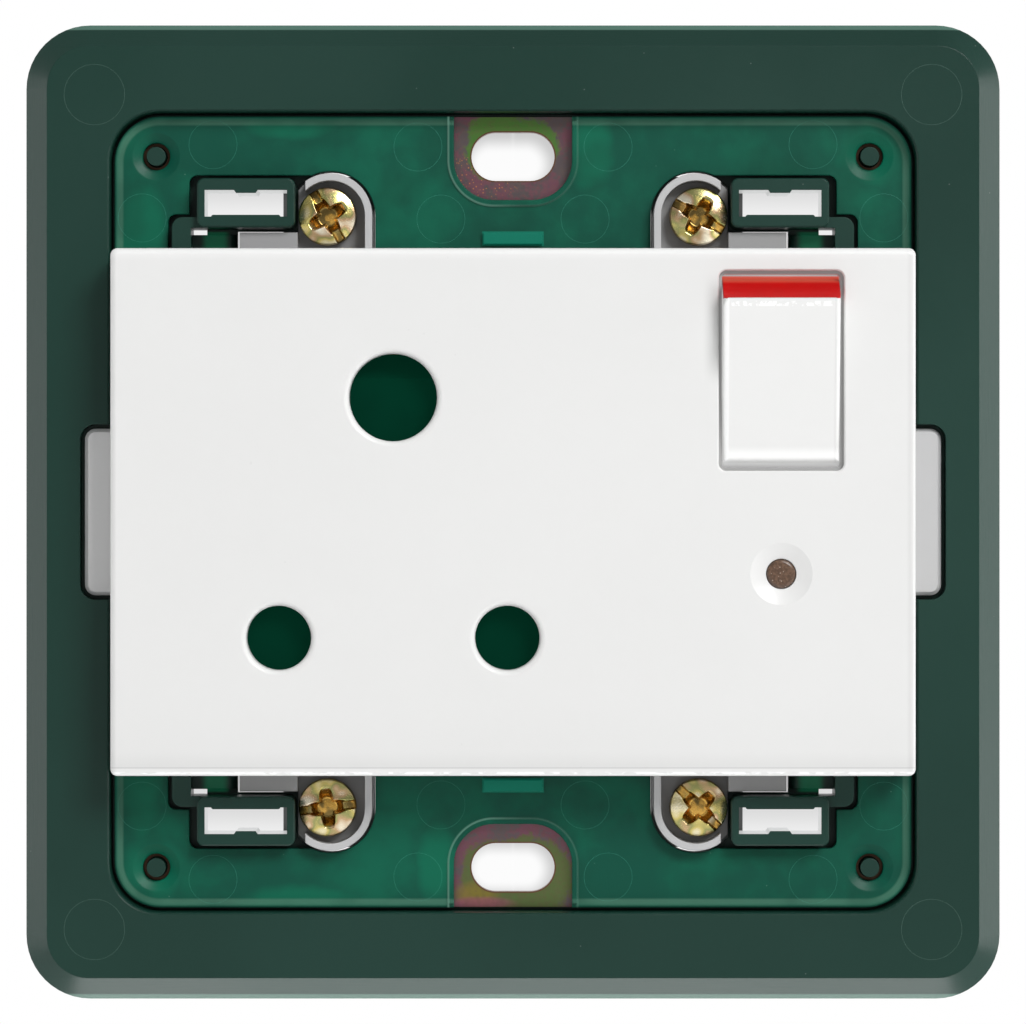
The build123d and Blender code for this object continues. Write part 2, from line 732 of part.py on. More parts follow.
        # cradles with open-topped slots for the rocker's trunnions
        cradle_near = rocker_opening_width / 2 - rocker_gap + cradle_gap
        cradle_base = (flange_base + flange_height) / 2
        for side in (-1, 1):
            inner_face = rocker_x + side * cradle_near
            with BuildSketch(side_plane(inner_face)):
                top = rocker_pivot_height + cradle_rise
                with Locations((rocker_z, (cradle_base + top) / 2)):
                    Rectangle(cradle_length, top - cradle_base)
                with Locations((rocker_z, rocker_pivot_height)):
                    Circle(trunnion_radius + trunnion_gap, mode=Mode.SUBTRACT)
                with Locations((rocker_z, rocker_pivot_height + cradle_rise)):
                    Rectangle(2 * (trunnion_radius + trunnion_gap), 2 * cradle_rise, mode=Mode.SUBTRACT)
            extrude(amount=side * cradle_wall)
        # guides for the shutter and the peg that its spring pushes against
        bar_near = neutral_x - live_hole / 2 - shutter_side_cover - guide_gap
        bar_far = line_x + live_hole / 2 + shutter_side_cover + guide_gap
        guide_top = pin_row_z + live_hole / 2 + shutter_margin
        with BuildSketch(front(flange_height)):
            slab((bar_near - guide_wall, -flange_z + guide_inset), (bar_near, guide_top))
            slab((bar_far, -flange_z + guide_inset), (bar_far + guide_wall, guide_top))
            for side in (-1, 1):
                stem_side = pattern_x + side * (earth_hole / 2 + shutter_margin + guide_gap)
                slab(
                    (stem_side, stem_slot_base + guide_lift),
                    (stem_side + side * guide_wall, stem_slot_top),
                )
            slab(
                (pattern_x - stem_slot_width / 2 + guide_gap, stem_slot_base + guide_gap),
                (pattern_x + stem_slot_width / 2 - guide_gap, stem_slot_base + guide_gap + spring_peg_thickness),
            )
        extrude(amount=shutter_play + shutter_thickness)
        # pockets under the edge of the flange for the hooks of the cover
        for corner in corners:
            with BuildSketch(front(flange_base)):
                slab(
                    (hook_x - hook_width / 2 - hook_gap, flange_z - hook_depth - hook_gap),
                    (hook_x + hook_width / 2 + hook_gap, flange_z + hook_gap),
                    corner,
                )
            extrude(amount=cover_base + hook_height + hook_play - flange_base, mode=Mode.SUBTRACT)
    main_housing.part.label = "main_housing"
    export_step(main_housing.part, "parts/main_housing.step")


def make_rear_cover():
    """Rear cover: a plate with a locating rim and posts under the clamps and the contact tubes."""
    rim_x = body_half_x - body_wall - rear_fit
    rim_z = body_half_z - body_wall - rear_fit
    with BuildPart() as rear_cover:
        with BuildSketch(front(rear_inner - rear_thickness)):
            base_plan(body_half_x, body_half_z, body_corner)
        extrude(amount=rear_thickness)
        chamfer(rear_cover.faces().sort_by(Axis.Y)[-1].outer_wire().edges(), rear_edge)
        with BuildSketch(front(rear_inner)):
            Rectangle(2 * rim_x, 2 * rim_z)
            Rectangle(2 * (rim_x - rear_rim), 2 * (rim_z - rear_rim), mode=Mode.SUBTRACT)
            for place in boss_places:
                disc(place, boss_radius + rear_fit, mode=Mode.SUBTRACT)
        extrude(amount=rear_rim_height)
        with BuildSketch(front(rear_inner)):
            with GridLocations(2 * screw_x, 2 * clamp_z, 2, 2):
                Rectangle(strip_width + 2 * clamp_post_margin, cage_length - 2 * clamp_post_setback)
        extrude(amount=tail_base - cage_gap - rear_inner)
        # each tube stands on a round post, cut away where the earth strip passes
        channel_half = strip_width / 2 + strip_side_gap
        for place, bore, depth in contact_places:
            with BuildSketch(front(rear_inner)):
                disc(place, bore / 2 + contact_wall)
                slab(
                    (-screw_x - channel_half, -screw_z), (-screw_x + channel_half, screw_z), mode=Mode.SUBTRACT
                )
            extrude(amount=-depth - running_gap - rear_inner)
        for place in boss_places:
            with BuildSketch(front(rear_inner)):
                disc(place, rear_screw_radius + rear_fit)
            extrude(amount=-rear_thickness, mode=Mode.SUBTRACT)
            with BuildSketch(front(rear_inner - rear_thickness)):
                disc(place, rear_head_radius + running_gap)
            extrude(amount=rear_head_depth, mode=Mode.SUBTRACT)
    rear_cover.part.label = "rear_cover"
    export_step(rear_cover.part, "parts/rear_cover.step")


def make_rear_screws():
    """Two cheese-head screws that hold the rear cover to the pillars of the housing."""
    for name, place in zip(("rear_screw_right", "rear_screw_left"), boss_places):
        with BuildPart() as rear_screw:
            with BuildSketch(front(rear_inner - rear_thickness)):
                disc(place, rear_head_radius)
            extrude(amount=rear_head_depth)
            with BuildSketch(front(rear_inner - rear_thickness + rear_head_depth)):
                disc(place, rear_screw_radius)
            extrude(amount=rear_screw_length)
            with BuildSketch(front(rear_inner - rear_thickness)):
                with Locations(place):
                    Rectangle(2 * rear_head_radius, screw_slot[0])
            extrude(amount=screw_slot[1], mode=Mode.SUBTRACT)
        rear_screw.part.label = name
        export_step(rear_screw.part, "parts/" + name + ".step")


def tube_section(place, bore):
    """Section of a slit tube that grips a plug pin."""
    disc(place, bore / 2 + contact_wall)
    disc(place, bore / 2, mode=Mode.SUBTRACT)
    with Locations((place[0], place[1] - bore / 2 - contact_wall / 2)):
        Rectangle(contact_slit, 2 * contact_wall, mode=Mode.SUBTRACT)


def make_line_contact():
    """Line socket: pin tube, strip and fixed switch contact in one folded piece."""
    place = live_places[1]
    strip_x = line_x + live_bore / 2 + contact_wall + line_strip_offset
    strip_z = fixed_contact_z
    half = strip_width / 2
    with BuildPart() as line_contact:
        with BuildSketch(front(-live_contact_depth)):
            tube_section(place, live_bore)
        extrude(amount=live_contact_depth + flange_base - running_gap)
        with BuildSketch(front(fixed_strip_top)):
            disc((line_pole_x, strip_z), contact_radius)
        extrude(amount=contact_button)
        with BuildSketch(front(fixed_strip_top - strip_thickness)):
            slab((strip_x - half, strip_z - half), (line_pole_x + half, strip_z + half))
            slab((strip_x - half, place[1] - half), (strip_x + half, strip_z + half))
            slab((place[0] + live_bore / 2 + contact_wall / 2, place[1] - half), (strip_x, place[1] + half))
        extrude(amount=strip_thickness)
    line_contact.part.label = "line_contact"
    export_step(line_contact.part, "parts/line_contact.step")


def make_neutral_contact():
    """Neutral socket: its strip drops to a lower level to pass behind the line strip."""
    place = live_places[0]
    strip_z = fixed_contact_z
    half = strip_width / 2
    with BuildPart() as neutral_contact:
        with BuildSketch(front(-live_contact_depth)):
            tube_section(place, live_bore)
        extrude(amount=live_contact_depth + flange_base - running_gap)
        with BuildSketch(front(fixed_strip_top)):
            disc((neutral_pole_x, strip_z), contact_radius)
        extrude(amount=contact_button)
        with BuildSketch(front(fixed_strip_top - strip_thickness)):
            slab((neutral_pole_x - half, strip_z - half), (neutral_pole_x + half, strip_z + half))
        extrude(amount=strip_thickness)
        with BuildSketch(front(neutral_strip_base)):
            slab(
                (neutral_pole_x - half, strip_z + half - strip_thickness),
                (neutral_pole_x + half, strip_z + half),
            )
        extrude(amount=fixed_strip_top - neutral_strip_base)
        with BuildSketch(front(neutral_strip_base)):
            slab((place[0] - half, strip_z - half), (neutral_pole_x + half, strip_z + half))
            slab(
                (place[0] - half, place[1] + live_bore / 2 + contact_wall / 2),
                (place[0] + half, strip_z + half),
            )
        extrude(amount=strip_thickness)
    neutral_contact.part.label = "neutral_contact"
    export_step(neutral_contact.part, "parts/neutral_contact.step")


def make_earth_contact():
    """Earth socket: a longer tube on a strip that runs to both earth terminals."""
    half = strip_width / 2
    with BuildPart() as earth_contact:
        with BuildSketch(front(-earth_contact_depth)):
            tube_section((earth_x, earth_z), earth_bore)
        extrude(amount=earth_contact_depth + flange_base - running_gap)
        with BuildSketch(front(tail_base)):
            slab((-screw_x - half, -screw_z), (-screw_x + half, screw_z))
            slab((-screw_x, earth_z - half), (earth_x - earth_bore / 2 - contact_wall / 2, earth_z + half))
        extrude(amount=strip_thickness)
    earth_contact.part.label = "earth_contact"
    export_step(earth_contact.part, "parts/earth_contact.step")


def make_feed_brackets():
    """Brackets that carry the moving blades, each with a strip under its terminal clamp."""
    half = strip_width / 2
    head_top = blade_pivot_height - blade_pivot_drop
    for name, pole_x, end, jog_z in (
        ("line_bracket", line_pole_x, 1, line_jog_z),
        ("neutral_bracket", neutral_pole_x, -1, neutral_jog_z),
    ):
        with BuildPart() as bracket:
            with BuildSketch(side_plane(pole_x - half)):
                with Locations((rocker_z, (head_top + tail_base) / 2)):
                    Rectangle(strip_thickness, head_top - tail_base)
                with Locations((rocker_z, head_top - bracket_head / 2)):
                    Rectangle(bracket_head, bracket_head)
                with Locations((rocker_z, blade_pivot_height)):
                    Circle(blade_rib_radius + running_gap, mode=Mode.SUBTRACT)
            extrude(amount=strip_width)
            with BuildSketch(front(tail_base)):
                with Locations((pole_x, (rocker_z + jog_z) / 2)):
                    Rectangle(strip_width, abs(jog_z - rocker_z) + strip_thickness)
                slab((screw_x - half, jog_z - half), (pole_x + half, jog_z + half))
                with Locations((screw_x, (jog_z - end * half + end * screw_z) / 2)):
                    Rectangle(strip_width, abs(end * screw_z - jog_z + end * half))
            extrude(amount=strip_thickness)
        bracket.part.label = name
        export_step(bracket.part, "parts/" + name + ".step")


def make_terminals():
    """A brass clamp and a plated screw for each of the four terminals."""
    for corner in corners:
        name = terminal_names[corner]
        side, end = corner
        with BuildPart() as clamp:
            with BuildSketch(front(cage_base)):
                with Locations((side * screw_x, end * clamp_z)):
                    Rectangle(cage_width, cage_length)
            extrude(amount=cage_height)
            with BuildSketch(Plane.XY):
                with Locations((side * screw_x, -wire_height)):
                    Circle(wire_bore / 2)
            extrude(amount=end * (screw_z + cage_length), mode=Mode.SUBTRACT)
            with BuildSketch(front(wire_height)):
                disc((screw_x, screw_z), screw_shank_radius + screw_thread_gap, corner)
            extrude(amount=cage_height, mode=Mode.SUBTRACT)
        clamp.part.label = name + "_clamp"
        export_step(clamp.part, "parts/" + name + "_clamp.step")
        with BuildPart() as screw:
            with BuildSketch(front(tower_floor_height)):
                disc((screw_x, screw_z), screw_head_diameter / 2, corner)
            extrude(amount=screw_head_height)
            fillet(screw.faces().sort_by(Axis.Y)[0].edges(), screw_head_edge)
            with BuildSketch(front(tower_floor_height)):
                disc((screw_x, screw_z), screw_shank_radius, corner)
            extrude(amount=wire_height + wire_bore / 2 - tower_floor_height)
            with BuildSketch(front(tower_floor_height + screw_head_height)):
                with Locations(Location((side * screw_x, end * screw_z, 0), (0, 0, screw_slot_turns[corner]))):
                    Rectangle(screw_head_diameter, screw_slot[0])
                    Rectangle(screw_cross[1], screw_cross[0])
            extrude(amount=-screw_slot[1], mode=Mode.SUBTRACT)
        screw.part.label = name + "_screw"
        export_step(screw.part, "parts/" + name + "_screw.step")


def tilted_plane(x, height, angle):
    """Side plane through a hinge line of the switch, turned so that its Z end comes forward."""
    turn = radians(angle)
    return Plane(origin=(x, -height, rocker_z), x_dir=(0, -sin(turn), cos(turn)), z_dir=(1, 0, 0))


def rocker_form():
    """Outer form of the rocker: flat face, sloped marker end and ends round the hinge line."""
    end_radius = rocker_opening_height / 2 - rocker_gap
    skirt = -rocker_skirt_drop
    low_face = (-sqrt(end_radius**2 - rocker_face_rise**2), rocker_face_rise)
    low_skirt = (-sqrt(end_radius**2 - skirt**2), skirt)
    low_mid = (-sqrt(end_radius**2 - (rocker_face_rise / 2) ** 2), rocker_face_rise / 2)
    marker_foot = rocker_face_rise - marker_drop
    high_marker = (sqrt(end_radius**2 - marker_foot**2), marker_foot)
    high_skirt = (sqrt(end_radius**2 - skirt**2), skirt)
    high_mid = (end_radius, 0)
    with BuildPart() as form:
        with BuildSketch(tilted_plane(rocker_x, rocker_pivot_height, rocker_tilt)):
            with BuildLine():
                Line(low_face, (marker_face_start, rocker_face_rise))
                Line((marker_face_start, rocker_face_rise), high_marker)
                ThreePointArc(high_marker, high_mid, high_skirt)
                Line(high_skirt, low_skirt)
                ThreePointArc(low_skirt, low_mid, low_face)
            make_face()
        extrude(amount=rocker_opening_width / 2 - rocker_gap, both=True)
        face = form.faces().sort_by(Axis.Y)[0]
        round_end_z = rocker_z + marker_face_start - rocker_hollow_setback
        fillet(face.edges().filter_by(lambda edge: edge.center().Z < round_end_z), rocker_edge)
    return form.part


def make_rocker():
    """Rocker and its red marker, with hollow back, trunnions and two plunger tubes."""
    form = rocker_form()
    half_width = rocker_opening_width / 2 - rocker_gap
    end_radius = rocker_opening_height / 2 - rocker_gap
    marker_foot = rocker_face_rise - marker_drop
    start = Vector(marker_face_start, rocker_face_rise)
    foot = Vector(sqrt(end_radius**2 - marker_foot**2), marker_foot)
    slope = (foot - start).normalized()
    inward = Vector(slope.Y, -slope.X) * marker_thickness
    plane = tilted_plane(rocker_x, rocker_pivot_height, rocker_tilt)
    with BuildPart() as marker_block:
        with BuildSketch(plane):
            with BuildLine():
                Polyline(start, foot + slope, foot + slope + inward, start + inward, close=True)
            make_face()
        extrude(amount=half_width + overcut, both=True)
    with BuildPart() as rocker_marker:
        add(form)
        add(marker_block.part, mode=Mode.INTERSECT)
    rocker_marker.part.label = "rocker_marker"
    export_step(rocker_marker.part, "parts/rocker_marker.step")
    with BuildPart() as rocker:
        add(form)
        add(marker_block.part, mode=Mode.SUBTRACT)
        with BuildSketch(plane):
            with Locations((0, (rocker_face_rise - rocker_shell) / 2 - overcut)):
                Rectangle(
                    2 * (marker_face_start - rocker_hollow_setback), rocker_face_rise - rocker_shell + 2 * overcut
                )
        extrude(amount=half_width - rocker_shell, both=True, mode=Mode.SUBTRACT)
        trunnion_end = half_width + cradle_gap + cradle_wall - running_gap
        for side in (-1, 1):
            with BuildSketch(side_plane(rocker_x + side * (half_width - rocker_shell))):
                with Locations((rocker_z, rocker_pivot_height)):
                    Circle(trunnion_radius)
            extrude(amount=side * (trunnion_end - half_width + rocker_shell))
            tube_radius = plunger_radius + running_gap + plunger_tube_wall
            tube_plane = plunger_plane(rocker_x + side * pole_offset, rocker_face_rise - rocker_shell)
            with BuildSketch(tube_plane):
                Circle(tube_radius)
                Circle(tube_radius - plunger_tube_wall, mode=Mode.SUBTRACT)
            extrude(amount=rocker_face_rise - rocker_shell + plunger_tube_reach)
            with BuildSketch(tube_plane):
                Circle(tube_radius - plunger_tube_wall)
            extrude(amount=rocker_face_rise - rocker_shell + plunger_tube_reach, mode=Mode.SUBTRACT)
    rocker.part.label = "rocker"
    export_step(rocker.part, "parts/rocker.step")


def plunger_plane(x, rise):
    """Plane square to a plunger, at a rise above the rocker's hinge line, facing into the wall."""
    turn = radians(rocker_tilt)
    outward = Vector(0, -cos(turn), -sin(turn))
    hinge = Vector(x, -rocker_pivot_height, rocker_z)
    return Plane(origin=hinge + outward * rise, x_dir=(1, 0, 0), z_dir=outward * -1)


def make_coil(name, start, direction, length, turns):
    """Compression spring wound round a line from its start."""
    pitch = (length - 2 * spring_wire) / turns
    origin = Vector(start) + Vector(direction).normalized() * spring_wire
    with BuildPart() as coil:
        with BuildLine():
            path = Helix(pitch, pitch * turns, spring_radius, center=origin, direction=direction)
        with BuildSketch(Plane(origin=path @ 0, z_dir=path % 0)):
            RegularPolygon(spring_wire, 4)
        sweep(is_frenet=True)
    coil.part.label = name
    export_step(coil.part, "parts/" + name + ".step")


def make_poles():
    """Moving blade, plunger and plunger spring of each pole."""
    for pole, pole_x in (("line", line_pole_x), ("neutral", neutral_pole_x)):
        plane = tilted_plane(pole_x, blade_pivot_height, -blade_swing)
        with BuildPart() as blade:
            with BuildSketch(plane):
                with Locations((0, blade_thickness / 2)):
                    Rectangle(blade_length, blade_thickness)
                Circle(blade_rib_radius)
                with Locations((0, blade_thickness + blade_rib_radius)):
                    Rectangle(2 * blade_rib_radius, 2 * blade_rib_radius, mode=Mode.SUBTRACT)
            extrude(amount=blade_width / 2, both=True)
            turn = radians(-blade_swing)
            outward = Vector(0, -cos(turn), -sin(turn))
            along = Vector(0, -sin(turn), cos(turn))
            button = Vector(pole_x, -blade_pivot_height, rocker_z) + along * contact_offset
            with BuildSketch(Plane(origin=button, x_dir=(1, 0, 0), z_dir=outward * -1)):
                Circle(contact_radius)
            extrude(amount=contact_button)
        blade.part.label = pole + "_blade"
        export_step(blade.part, "parts/" + pole + "_blade.step")
        with BuildPart() as plunger:
            with BuildSketch(plunger_plane(pole_x, plunger_length - plunger_reach)):
                Circle(plunger_radius)
            extrude(amount=plunger_length)
            fillet(plunger.faces().sort_by(Axis.Y)[-1].edges(), plunger_radius - plunger_tip)
        plunger.part.label = pole + "_plunger"
        export_step(plunger.part, "parts/" + pole + "_plunger.step")
        spring_start = plunger_plane(pole_x, plunger_length - plunger_reach)
        spring_length = rocker_face_rise - rocker_shell - plunger_length + plunger_reach
        direction = spring_start.z_dir * -1
        name = pole + "_plunger_spring"
        make_coil(name, spring_start.origin, direction, spring_length, plunger_spring_turns)


def make_shutter():
    """Sliding shutter: a bar over the current holes and a ramped stem over the earth hole."""
    bar_half = live_hole / 2 + shutter_margin
    stem_half = earth_hole / 2 + shutter_margin
    with BuildPart() as shutter:
        with BuildSketch(front(shutter_base)):
            slab(
                (neutral_x - live_hole / 2 - shutter_side_cover, pin_row_z - bar_half),
                (line_x + live_hole / 2 + shutter_side_cover, pin_row_z + bar_half),
            )
            slab((earth_x - stem_half, pin_row_z), (earth_x + stem_half, earth_z + earth_hole / 2))
            slab(
                (pattern_x - stem_slot_width / 2, stem_slot_base),
                (pattern_x + stem_slot_width / 2, stem_slot_top),
                mode=Mode.SUBTRACT,
            )
        extrude(amount=shutter_thickness)
        ramp_depth = shutter_thickness - ramp_toe
        top_edge = shutter.faces().sort_by(Axis.Z)[-1].edges().sort_by(Axis.Y)[0]
        chamfer(top_edge, ramp_depth, ramp_depth / tan(radians(ramp_angle)))
    shutter.part.label = "shutter"
    export_step(shutter.part, "parts/shutter.step")
    spring_foot = stem_slot_base + guide_gap + spring_peg_thickness
    spring_height = shutter_base + shutter_thickness / 2
    make_coil(
        "shutter_spring",
        (pattern_x, -spring_height, spring_foot),
        (0, 0, 1),
        stem_slot_top - spring_foot,
        spring_turns,
    )


def make_indicator():
    """Lens in the cover, the neon lamp behind it and its series resistor."""
    lens_back = cover_inside - lens_flange_length
    lens_front = cover_front - dish_depth + lens_rise
    with BuildPart() as indicator_lens:
        with BuildSketch(front(lens_back)):
            disc((rocker_x, lens_z), lens_flange / 2)
        extrude(amount=lens_flange_length)
        with BuildSketch(front(lens_back)):
            disc((rocker_x, lens_z), lens_diameter / 2)
        extrude(amount=lens_front - lens_back)
        fillet(indicator_lens.faces().sort_by(Axis.Y)[0].edges(), lens_rise)
    indicator_lens.part.label = "indicator_lens"
    export_step(indicator_lens.part, "parts/indicator_lens.step")
    lamp_front = flange_height - lamp_setback
    with BuildPart() as indicator_lamp:
        with BuildSketch(front(lamp_front - lamp_length)):
            disc((rocker_x, lens_z), lamp_radius)
        extrude(amount=lamp_length)
        fillet(indicator_lamp.faces().sort_by(Axis.Y)[0].edges(), lamp_radius - lamp_tip)
        with BuildSketch(front(lamp_front - lamp_length)):
            with Locations((rocker_x, lens_z)):
                with GridLocations(2 * lamp_lead_spread, 0, 2, 1):
                    Circle(lamp_lead_radius)
        extrude(amount=-lamp_lead_length)
    indicator_lamp.part.label = "indicator_lamp"
    export_step(indicator_lamp.part, "parts/indicator_lamp.step")
    resistor_front = lamp_front - lamp_length - lamp_lead_length
    place = (rocker_x - lamp_lead_spread, lens_z)
    with BuildPart() as lamp_resistor:
        with BuildSketch(front(resistor_front - resistor_length)):
            disc(place, resistor_radius)
        extrude(amount=resistor_length)
        chamfer(lamp_resistor.edges().filter_by(GeomType.CIRCLE), resistor_radius / 3)
        with BuildSketch(front(rear_inner)):
            disc(place, lamp_lead_radius)
        extrude(amount=resistor_front - resistor_length - rear_inner)
    lamp_resistor.part.label = "lamp_resistor"
    export_step(lamp_resistor.part, "parts/lamp_resistor.step")


os.makedirs("parts", exist_ok=True)
make_mounting_frame()
make_steel_plate()
make_insulating_sheet()
make_front_cover()
make_main_housing()
make_rear_cover()
make_rear_screws()
make_line_contact()
make_neutral_contact()
make_earth_contact()
make_feed_brackets()
make_terminals()
make_rocker()
make_poles()
make_shutter()
make_indicator()
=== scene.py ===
"""Looks of a round-pin switched socket: green mounting frame, plated steel, white cover and rocker.

Everything is in metres in the object's own frame: X right, Z up, the wall at Y = 0, the front facing -Y.
Sizes are written in millimetres and turned into metres by MM.
"""
import json
import logging
from dataclasses import dataclass, field
from enum import Enum
from typing import Any

import bpy
import numpy as np
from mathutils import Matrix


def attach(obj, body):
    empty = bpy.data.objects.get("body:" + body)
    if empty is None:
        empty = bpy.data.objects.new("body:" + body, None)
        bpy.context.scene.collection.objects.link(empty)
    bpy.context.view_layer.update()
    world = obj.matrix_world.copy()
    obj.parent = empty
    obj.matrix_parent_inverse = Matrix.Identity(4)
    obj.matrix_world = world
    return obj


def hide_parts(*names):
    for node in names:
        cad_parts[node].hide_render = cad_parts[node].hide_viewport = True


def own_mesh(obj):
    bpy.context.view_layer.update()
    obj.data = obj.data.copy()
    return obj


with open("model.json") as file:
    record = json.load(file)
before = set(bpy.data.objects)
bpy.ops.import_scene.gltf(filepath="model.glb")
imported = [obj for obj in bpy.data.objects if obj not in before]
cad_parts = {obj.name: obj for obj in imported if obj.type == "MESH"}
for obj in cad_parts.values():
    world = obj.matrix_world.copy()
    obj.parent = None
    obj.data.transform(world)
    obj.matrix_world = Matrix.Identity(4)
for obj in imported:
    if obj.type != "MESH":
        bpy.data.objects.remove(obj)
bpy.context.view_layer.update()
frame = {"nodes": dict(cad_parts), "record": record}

MM = 0.001
log = logging.getLogger("socket_looks")

Colour = tuple[float, float, float, float]
Span = tuple[float, float]
BLACK: Colour = (0.0, 0.0, 0.0, 1.0)
WHITE: Colour = (1.0, 1.0, 1.0, 1.0)


def srgb(red: float, green: float, blue: float) -> Colour:
    """Linear colour of an sRGB colour given in steps of 0 to 255."""
    steps = np.array([red, green, blue]) / 255.0
    linear = np.where(steps <= 0.04045, steps / 12.92, ((steps + 0.055) / 1.055) ** 2.4)
    return (float(linear[0]), float(linear[1]), float(linear[2]), 1.0)


class Signal:
    """One output of a shader graph, with the arithmetic that the finishes use."""

    def __init__(self, graph: "Graph", socket: bpy.types.NodeSocket) -> None:
        self.graph = graph
        self.socket = socket

    def math(self, operation: str, *others: "Signal | float") -> "Signal":
        """A Math node with this signal first.

        Args:
            operation: Name of the Math node's operation.
            others: The second and third operands, where the operation has them.

        Returns:
            The node's result.
        """
        values = {0: self, **{index + 1: other for index, other in enumerate(others)}}
        return self.graph.node("ShaderNodeMath", {"operation": operation}, values)

    def __abs__(self) -> "Signal":
        return self.math("ABSOLUTE")

    def larger(self, other: "Signal | float") -> "Signal":
        """The larger of this signal and another value."""
        return self.math("MAXIMUM", other)

    def length(self, other: "Signal") -> "Signal":
        """Length of the flat vector whose two parts are this signal and another."""
        return (self * self + other * other).math("SQRT")

    def _reflected(self, operation: str, other: float) -> "Signal":
        """A Math node with a plain number first."""
        return self.graph.node("ShaderNodeMath", {"operation": operation}, {0: other, 1: self})

    def __add__(self, other: "Signal | float") -> "Signal":
        return self.math("ADD", other)

    def __radd__(self, other: float) -> "Signal":
        return self.math("ADD", other)

    def __sub__(self, other: "Signal | float") -> "Signal":
        return self.math("SUBTRACT", other)

    def __rsub__(self, other: float) -> "Signal":
        return self._reflected("SUBTRACT", other)

    def __mul__(self, other: "Signal | float") -> "Signal":
        return self.math("MULTIPLY", other)

    def __rmul__(self, other: float) -> "Signal":
        return self.math("MULTIPLY", other)

    def window(self, low: float, high: float, soft: float) -> "Signal":
        """1 between low and high and 0 outside, softened over soft on either side."""
        return self.step(low - soft, low + soft) * self.step(high + soft, high - soft)

    def step(self, low: float, high: float) -> "Signal":
        """Smooth rise from 0 at low to 1 at high, or a fall where low is above high."""
        settings = {"interpolation_type": "SMOOTHSTEP"}
        return self.graph.node(
            "ShaderNodeMapRange", settings, {"Value": self, "From Min": low, "From Max": high}
        )


class Graph:
    """Node tree of one material, in which one method makes every node."""

    def __init__(self, name: str) -> None:
        self.material = bpy.data.materials.new(name)
        self.material.use_nodes = True
        self.tree = self.material.node_tree
        self.tree.nodes.clear()

    def node(
        self,
        kind: str,
        settings: dict[str, Any] | None = None,
        inputs: dict[Any, Any] | None = None,
        output: int | str = 0,
    ) -> Signal:
        """Makes a node, sets it up and feeds it.

        Args:
            kind: Blender's type name of the node.
            settings: Properties set first; "stops" gives a ramp's places and colours.
            inputs: Values or signals for the node's sockets, by name or number.
            output: Name or number of the output that is wanted.

        Returns:
            The wanted output as a signal.
        """
        made = self.tree.nodes.new(kind)
        for key, value in (settings or {}).items():
            if key == "stops":
                self._set_stops(made.color_ramp, value)
            else:
                setattr(made, key, value)
        for key, value in (inputs or {}).items():
            if isinstance(value, Signal):
                self.tree.links.new(value.socket, made.inputs[key])
            else:
                made.inputs[key].default_value = value
        return Signal(self, made.outputs[output])

    @staticmethod
    def _set_stops(ramp: bpy.types.ColorRamp, stops: list[tuple[float, Colour]]) -> None:
        """Gives a colour ramp its stops, lowest first."""
        while len(ramp.elements) > 1:
            ramp.elements.remove(ramp.elements[-1])
        ramp.elements[0].position, ramp.elements[0].color = stops[0]
        for place, colour in stops[1:]:
            ramp.elements.new(place).color = colour

    def place(self) -> Signal:
        """Object coordinates in millimetres."""
        point = self.node("ShaderNodeTexCoord", output="Object")
        return self.node("ShaderNodeVectorMath", {"operation": "SCALE"}, {0: point, "Scale": 1.0 / MM})

    def noise(self, point: Signal, size: float, detail: float = 2.0, stretch: tuple = (1, 1, 1)) -> Signal:
        """Noise from 0 to 1 whose features are about a size in millimetres.

        Args:
            point: Place in millimetres.
            size: Size of a feature in millimetres.
            detail: Number of finer layers.
            stretch: How much shorter the features are along each axis.

        Returns:
            The noise as a signal.
        """
        if stretch != (1, 1, 1):
            point = self.node("ShaderNodeVectorMath", {"operation": "MULTIPLY"}, {0: point, 1: stretch})
        return self.node("ShaderNodeTexNoise", None, {"Vector": point, "Scale": 1.0 / size, "Detail": detail})

    def specks(self, point: Signal, spacing: float, radius: float) -> Signal:
        """Mask of small round specks, one in some of the cells of a random pattern."""
        near = self.node(
            "ShaderNodeTexVoronoi", None, {"Vector": point, "Scale": 1.0 / spacing}, output="Distance"
        )
        return near.step(radius / spacing, 0.4 * radius / spacing)

    def mix(self, share: Signal | float, first: Signal | Colour, second: Signal | Colour) -> Signal:
        """First colour where share is 0 and second where it is 1."""
        settings = {"data_type": "RGBA"}
        return self.node("ShaderNodeMix", settings, {0: share, 6: first, 7: second}, output=2)

    def split(self, point: Signal) -> tuple[Signal, Signal, Signal]:
        """X, Y and Z of a vector."""
        parts = self.tree.nodes.new("ShaderNodeSeparateXYZ")
        self.tree.links.new(point.socket, parts.inputs[0])
        return Signal(self, parts.outputs[0]), Signal(self, parts.outputs[1]), Signal(self, parts.outputs[2])

    def bump(self, height: Signal, depth: float, edge: float = 0.0) -> Signal:
        """Normal for a height from 0 to 1 over a depth in millimetres, on softened edges.

        Args:
            height: The height as a signal from 0 to 1.
            depth: Depth in millimetres that a height of 1 stands for.
            edge: Radius in millimetres by which sharp edges are softened.

        Returns:
            The normal.
        """
        inputs: dict[str, Any] = {"Height": height, "Distance": depth * MM, "Strength": 1.0}
        if edge > 0:
            inputs["Normal"] = self.node("ShaderNodeBevel", {"samples": 4}, {"Radius": edge * MM})
        return self.node("ShaderNodeBump", None, inputs)

    def finish(self, **inputs: Any) -> bpy.types.Material:
        """Ends the graph in one Principled shader and returns the material."""
        named = {key.replace("_", " ").title().replace("Ior", "IOR"): value for key, value in inputs.items()}
        shader = self.node("ShaderNodeBsdfPrincipled", None, named)
        self.node_output(shader)
        return self.material

    def node_output(self, shader: Signal) -> None:
        """Links a shader to the material's output."""
        out = self.tree.nodes.new("ShaderNodeOutputMaterial")
        self.tree.links.new(shader.socket, out.inputs["Surface"])


